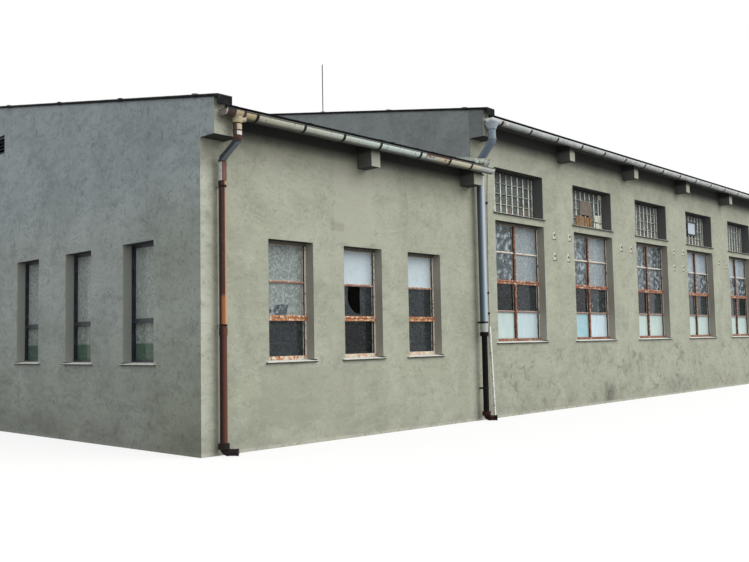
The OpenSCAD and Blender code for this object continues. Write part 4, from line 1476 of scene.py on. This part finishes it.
class FACTORY_OT_abutment_roll(bpy.types.Operator):
    """Models the crumpled strip of felt where the wing's roof meets the hall"""

    bl_idname = "factory.abutment_roll"
    bl_label = "Crumpled abutment felt"

    def execute(self, context):
        noise.seed_set(context.scene.factory_roof.seed)
        seed = Vector((context.scene.factory_roof.seed, 0, 0))
        reach = -FRONT + 0.40
        bm = bmesh.new()
        steps, rounds = 150, 10
        bmesh.ops.create_grid(bm, x_segments=steps, y_segments=rounds, size=0.5)
        width, height = 0.26, 0.17
        for vert in bm.verts:
            along, around = vert.co.x + 0.5, vert.co.y + 0.5
            y = -reach + 2 * reach * along
            swell = 0.75 + 0.35 * noise.noise(Vector((y * 0.7, 0, 0)) + seed)
            angle = around * math.pi / 2
            x = HALL - width * swell * math.cos(angle)
            z = height * swell * math.sin(angle)
            crumple = noise.noise_vector(Vector((x * 9, y * 7, z * 9)) + seed) * 0.022
            x, z = min(x + crumple.x, HALL - 0.002), 0.016 + max(0.0, z + crumple.z)
            vert.co = Vector((x, y + crumple.y * 0.6, z))
        draped(bm.verts, WING_EAVES)
        bmesh.ops.solidify(bm, geom=bm.faces[:], thickness=0.008)
        finished("abutment_felt_roll", bm, crumpled_felt, ["abutment_flashing"], smooth=True)

        chance = random.Random(context.scene.factory_roof.seed)
        bm = bmesh.new()
        for side in (-1, 1):
            for _ in range(9):
                radius = chance.uniform(0.035, 0.075)
                verts = bmesh.ops.create_icosphere(bm, subdivisions=2, radius=radius)["verts"]
                x = HALL - 0.03 - chance.uniform(0.0, 0.28)
                y = side * (-FRONT + 0.34 + chance.uniform(-0.06, 0.05))
                z = WING_EAVES - EAVES_REACH * FALL + chance.uniform(0.0, 0.07)
                bmesh.ops.translate(bm, vec=Vector((x, y, z)), verts=verts)
                for vert in verts:
                    vert.co += noise.noise_vector(vert.co * 14) * 0.035
        finished("abutment_felt_scraps", bm, crumpled_felt)
        return {"FINISHED"}


# Middles of the drill patches on the hall's front: distance along the wall from the wing's corner, and height
DRILL_PATCHES = [
    (9.32, 3.78), (9.32, 3.32), (9.97, 3.79), (9.89, 3.32), (12.42, 3.72), (12.93, 3.71), (15.435, 3.815),
    (15.43, 3.38), (16.05, 3.83), (16.02, 3.40), (18.57, 3.71), (19.12, 3.62)]


class FACTORY_OT_drill_patches(bpy.types.Operator):
    """Adds the plaster patches with drill holes on the hall's front, with dark rims and hole plugs as painted
    shadow
    """

    bl_idname = "factory.drill_patches"
    bl_label = "Drill patches"

    def execute(self, context):
        sizes = context.scene.factory_walls
        half, tall, rim_w = sizes.patch_w / 2, 1.3 * sizes.patch_w / 2, 0.016
        inside = FRONT + 0.004
        plates, rims, holes = bmesh.new(), bmesh.new(), bmesh.new()
        for along, z in DRILL_PATCHES:
            x = LEFT + along
            block(plates, (x - half, FRONT - 0.004, z - tall), (x + half, inside, z + tall))
            # Painted shadow: a dark rim shows along each patch's right and lower edges.
            block(rims, (x - half, FRONT - 0.002, z - tall - rim_w), (x + half + rim_w, inside, z + tall))
            # Painted shade: a dark plug stands in each drill hole.
            tube(holes, (x + 0.01, inside, z + 0.01), (x + 0.01, FRONT - 0.006, z + 0.01), sizes.hole_r, 16)
        eased(plates, 0.002)
        finished("drill_patches", plates, patch_plaster)
        finished("drill_patch_shadow_rims", rims, bracket_iron)
        finished("drill_hole_shades", holes, shadow_joint)
        return {"FINISHED"}


def sleeve(bm, x, y, z, radius, width):
    """Adds a half-round sleeve under a gutter joint, closed on top."""
    ring = bmesh.new()
    verts = tube(ring, (x - width / 2, y, z), (x + width / 2, y, z), radius, 32)
    bmesh.ops.bisect_plane(
        ring, geom=touching(verts), plane_co=(x, y, z + 0.004), plane_no=(0, 0, 1), clear_outer=True)
    bmesh.ops.holes_fill(ring, edges=[edge for edge in ring.edges if edge.is_boundary])
    merged(bm, ring)


class FACTORY_OT_gutter_sleeves(bpy.types.Operator):
    """Adds the joint sleeves along the gutters"""

    bl_idname = "factory.gutter_sleeves"
    bl_label = "Gutter sleeves"

    def execute(self, context):
        sizes = context.scene.factory_rainwater
        for name, left, right, middle, top, radius, spacing, finish, slot in [
            ("wing_gutter_sleeves", LEFT + 1.45, LEFT + 6.2, WING_GUTTER_Y, WING_RIM, WING_GUTTER_R,
             sizes.wing_spacing, wing_gutter_paint, "cream_gutter"),
            ("hall_gutter_sleeves", HALL + 2.1, RIGHT - 0.3, HALL_GUTTER_Y, HALL_RIM, HALL_GUTTER_R,
             sizes.hall_spacing, zinc_gutter, "zinc_gutter"),
        ]:
            bm = bmesh.new()
            x = left
            while x < right:
                sleeve(bm, x, middle, top, radius + 0.004, sizes.sleeve_w)
                x += spacing
            at_each(BOTH_SIDES, name, bm, finish)
        return {"FINISHED"}


class FACTORY_OT_pipe_fittings(bpy.types.Operator):
    """Adds the pipes' branch, rings, sleeve and rod, the gutters' stop ends and the conductor's wire"""

    bl_idname = "factory.pipe_fittings"
    bl_label = "Pipe fittings"

    def execute(self, context):
        ring_h = context.scene.factory_rainwater.ring_h
        bm = bmesh.new()
        tube(bm, (CORNER_PIPE + 0.02, WING_GUTTER_Y - 0.02, 4.655),
             (CORNER_PIPE + 0.11, WING_GUTTER_Y - 0.04, 4.675), 0.036, 20)
        tube(bm, (CORNER_PIPE, WING_GUTTER_Y, 4.615), (CORNER_PIPE, WING_GUTTER_Y, 4.70), 0.066, 28, 0.076)
        sleeve(bm, LEFT + 0.282, WING_GUTTER_Y, WING_RIM, WING_GUTTER_R + 0.006, 0.125)
        at_each(BOTH_SIDES, "corner_branch", bm, cream_enamel)

        self.uprights("corner_neck_rings", rusty_pipe, "rusty_pipe", CORNER_PIPE, WING_GUTTER_Y, [
            (4.600, 4.600 + ring_h, 0.067), (4.500, 4.500 + ring_h, 0.067)])
        self.uprights("corner_pipe_sleeve", bare_sleeve, "rusty_pipe", CORNER_PIPE, CORNER_PIPE_Y, [
            (3.85, 4.10, 0.059), (4.065, 4.065 + ring_h, 0.064), (4.095, 4.095 + ring_h, 0.064)])
        self.uprights("corner_pipe_rod", galvanised_wire, "bracket_iron", CORNER_PIPE - 0.045,
                      CORNER_PIPE_Y + 0.045, [(0.05, 3.78, 0.006)], 10)

        bm = bmesh.new()
        sleeve(bm, HALL + 0.032, HALL_GUTTER_Y, HALL_RIM, HALL_GUTTER_R + 0.006, 0.010)
        at_each(BOTH_SIDES, "hall_gutter_stop_ends", bm, zinc_gutter)

        self.uprights("hall_hopper_rings", zinc_gutter, "zinc_gutter", HALL_PIPE, HALL_GUTTER_Y, [
            (5.566, 5.566 + ring_h, 0.086), (5.384, 5.384 + ring_h, 0.086)])

        bm = bmesh.new()
        bends = [(0.15, 5.13), (0.07, 4.95), (0.02, 4.235), (-0.016, 2.45), (0.0, 1.78)]
        path = [(GUARD + aside, FRONT - 0.02, z) for aside, z in bends]
        for high, low in zip(path, path[1:]):
            tube(bm, high, low, 0.005, 8)
        for aside, z in [(0.02, 4.235), (-0.016, 2.45), (-0.008, 2.05)]:
            x = GUARD + aside
            block(bm, (x - 0.016, FRONT - 0.032, z - 0.02), (x + 0.016, FRONT + 0.004, z + 0.02))
        finished("conductor_wire", bm, bracket_iron)
        return {"FINISHED"}

    @staticmethod
    def uprights(name, finish, slot, x, y, tubes, sides=28):
        """Builds a piece of upright tubes round one middle, each with its two heights and its radius."""
        bm = bmesh.new()
        for low, high, radius in tubes:
            tube(bm, (x, y, low), (x, y, high), radius, sides)
        at_each(BOTH_SIDES, name, bm, finish)


# The camera, solved from the two wall faces: its place from the wing's front corner on the ground, in metres,
# and its yaw from +X towards +Y, its pitch and its roll, in degrees
CAMERA_PLACE = (-7.014, -9.837, 1.561)
CAMERA_TURN = (43.01, 3.97, -1.044)


def camera_axes():
    """Right, up and backward axes of the camera."""
    yaw, pitch, roll = [math.radians(angle) for angle in CAMERA_TURN]
    level = Vector((math.cos(yaw), math.sin(yaw), 0))
    aside = Vector((math.sin(yaw), -math.cos(yaw), 0))
    forward = level * math.cos(pitch) + Vector((0, 0, math.sin(pitch)))
    above = level * -math.sin(pitch) + Vector((0, 0, math.cos(pitch)))
    right = aside * math.cos(roll) + above * math.sin(roll)
    up = aside * -math.sin(roll) + above * math.cos(roll)
    return right, up, -forward


class FACTORY_OT_stage(bpy.types.Operator):
    """Sets up the floor, the soft light, the white surroundings and the camera"""

    bl_idname = "factory.stage"
    bl_label = "Studio"

    def execute(self, context):
        sizes = context.scene.factory_stage
        scene = context.scene
        scene.view_settings.view_transform = "Standard"

        bm = bmesh.new()
        bmesh.ops.create_grid(bm, x_segments=1, y_segments=1, size=sizes.floor_size / 2)
        mesh = bpy.data.meshes.new("floor")
        bm.to_mesh(mesh)
        bm.free()
        floor = bpy.data.objects.new("floor", mesh)
        scene.collection.objects.link(floor)
        mesh.materials.append(self.floor_finish(sizes))

        world = bpy.data.worlds.new("studio_sky")
        scene.world = world
        world.use_nodes = True
        tree = world.node_tree
        sky = tree.nodes["Background"]
        sky.inputs["Color"].default_value = (1, 1, 1, 1)
        power = add(tree, "ShaderNodeMapRange", {
            "Value": self.seen(tree), "From Min": 0.0, "From Max": 1.0, "To Min": sizes.sky_power,
            "To Max": 1.0})
        feed(sky.inputs["Strength"], power.outputs["Result"])

        lamp = bpy.data.lights.new("soft_sun", "SUN")
        lamp.energy = sizes.sun_power
        lamp.angle = math.radians(50)
        sun = bpy.data.objects.new("soft_sun", lamp)
        scene.collection.objects.link(sun)
        sun.rotation_euler = Vector((0.35, -0.75, 0.62)).to_track_quat("Z", "Y").to_euler()

        lens = bpy.data.cameras.new("camera")
        lens.sensor_width = 36
        lens.sensor_fit = "HORIZONTAL"
        lens.lens = sizes.lens
        lens.clip_end = 500
        camera = bpy.data.objects.new("camera", lens)
        scene.collection.objects.link(camera)
        turn = Matrix(camera_axes()).transposed().to_4x4()
        camera.matrix_world = Matrix.Translation(Vector((LEFT, FRONT, 0)) + Vector(CAMERA_PLACE)) @ turn
        scene.camera = camera
        return {"FINISHED"}

    @staticmethod
    def seen(tree):
        """1 for what the camera sees, also in a reflection or through glass."""
        path = add(tree, "ShaderNodeLightPath").outputs
        return any_of(path["Is Camera Ray"], path["Is Glossy Ray"], path["Is Transmission Ray"])

    def floor_finish(self, sizes):
        """Studio floor: a dull pale grey that shows white, and bare ground inside the building."""
        finish, place = start("studio_floor", 0.95)
        tree = finish.node_tree
        x, y, _ = axes(place)
        under = all_of(band(x, LEFT + 0.05, RIGHT - 0.05), below(magnitude(y), -FRONT - 0.05))
        covered(finish, (*sizes.floor_tone, 1.0), (under, "#7a776f"))
        own = tree.nodes["Principled BSDF"].outputs[0]
        glow = add(tree, "ShaderNodeEmission", {"Color": (1, 1, 1, 1), "Strength": 0.79}).outputs[0]
        outside = add(tree, "ShaderNodeMath", {0: 1.0, 1: under}, operation="SUBTRACT").outputs[0]
        both = add(tree, "ShaderNodeAddShader", {0: own, 1: glow}).outputs[0]
        lift = add(tree, "ShaderNodeMixShader", {0: all_of(self.seen(tree), outside), 1: own, 2: both})
        feed(tree.nodes["Material Output"].inputs["Surface"], lift.outputs[0])
        return finish


OPERATORS = [
    FACTORY_OT_finish_nodes, FACTORY_OT_wing_windows, FACTORY_OT_gable_windows, FACTORY_OT_hall_windows,
    FACTORY_OT_glass_blocks, FACTORY_OT_mended_lights, FACTORY_OT_roof_sheets, FACTORY_OT_torn_edges,
    FACTORY_OT_abutment_roll, FACTORY_OT_drill_patches, FACTORY_OT_gutter_sleeves, FACTORY_OT_pipe_fittings,
    FACTORY_OT_stage,
]
PROPERTIES = {
    "factory_walls": WallProperties, "factory_windows": WindowProperties, "factory_blocks": BlockProperties,
    "factory_roof": RoofProperties, "factory_rainwater": RainwaterProperties,
    "factory_stage": StageProperties}


class FACTORY_PT_panel(bpy.types.Panel):
    """Lists the building's sizes and its operators"""

    bl_idname = "FACTORY_PT_panel"
    bl_label = "Factory building"
    bl_space_type = "VIEW_3D"
    bl_region_type = "UI"
    bl_category = "Factory"

    def draw(self, context):
        for name, group in PROPERTIES.items():
            box = self.layout.box()
            for prop in group.__annotations__:
                box.prop(getattr(context.scene, name), prop)
        for operator in OPERATORS:
            self.layout.operator(operator.bl_idname)


def register():
    for cls in [*PROPERTIES.values(), *OPERATORS, FACTORY_PT_panel]:
        bpy.utils.register_class(cls)
    for name, group in PROPERTIES.items():
        setattr(bpy.types.Scene, name, PointerProperty(type=group))


def unregister():
    for name in PROPERTIES:
        delattr(bpy.types.Scene, name)
    for cls in [FACTORY_PT_panel, *reversed(OPERATORS), *reversed(list(PROPERTIES.values()))]:
        bpy.utils.unregister_class(cls)


def main():
    """Dresses the building."""
    register()
    for operator in OPERATORS:
        group, name = operator.bl_idname.split(".")
        getattr(getattr(bpy.ops, group), name)()


if __name__ == "__main__":
    main()
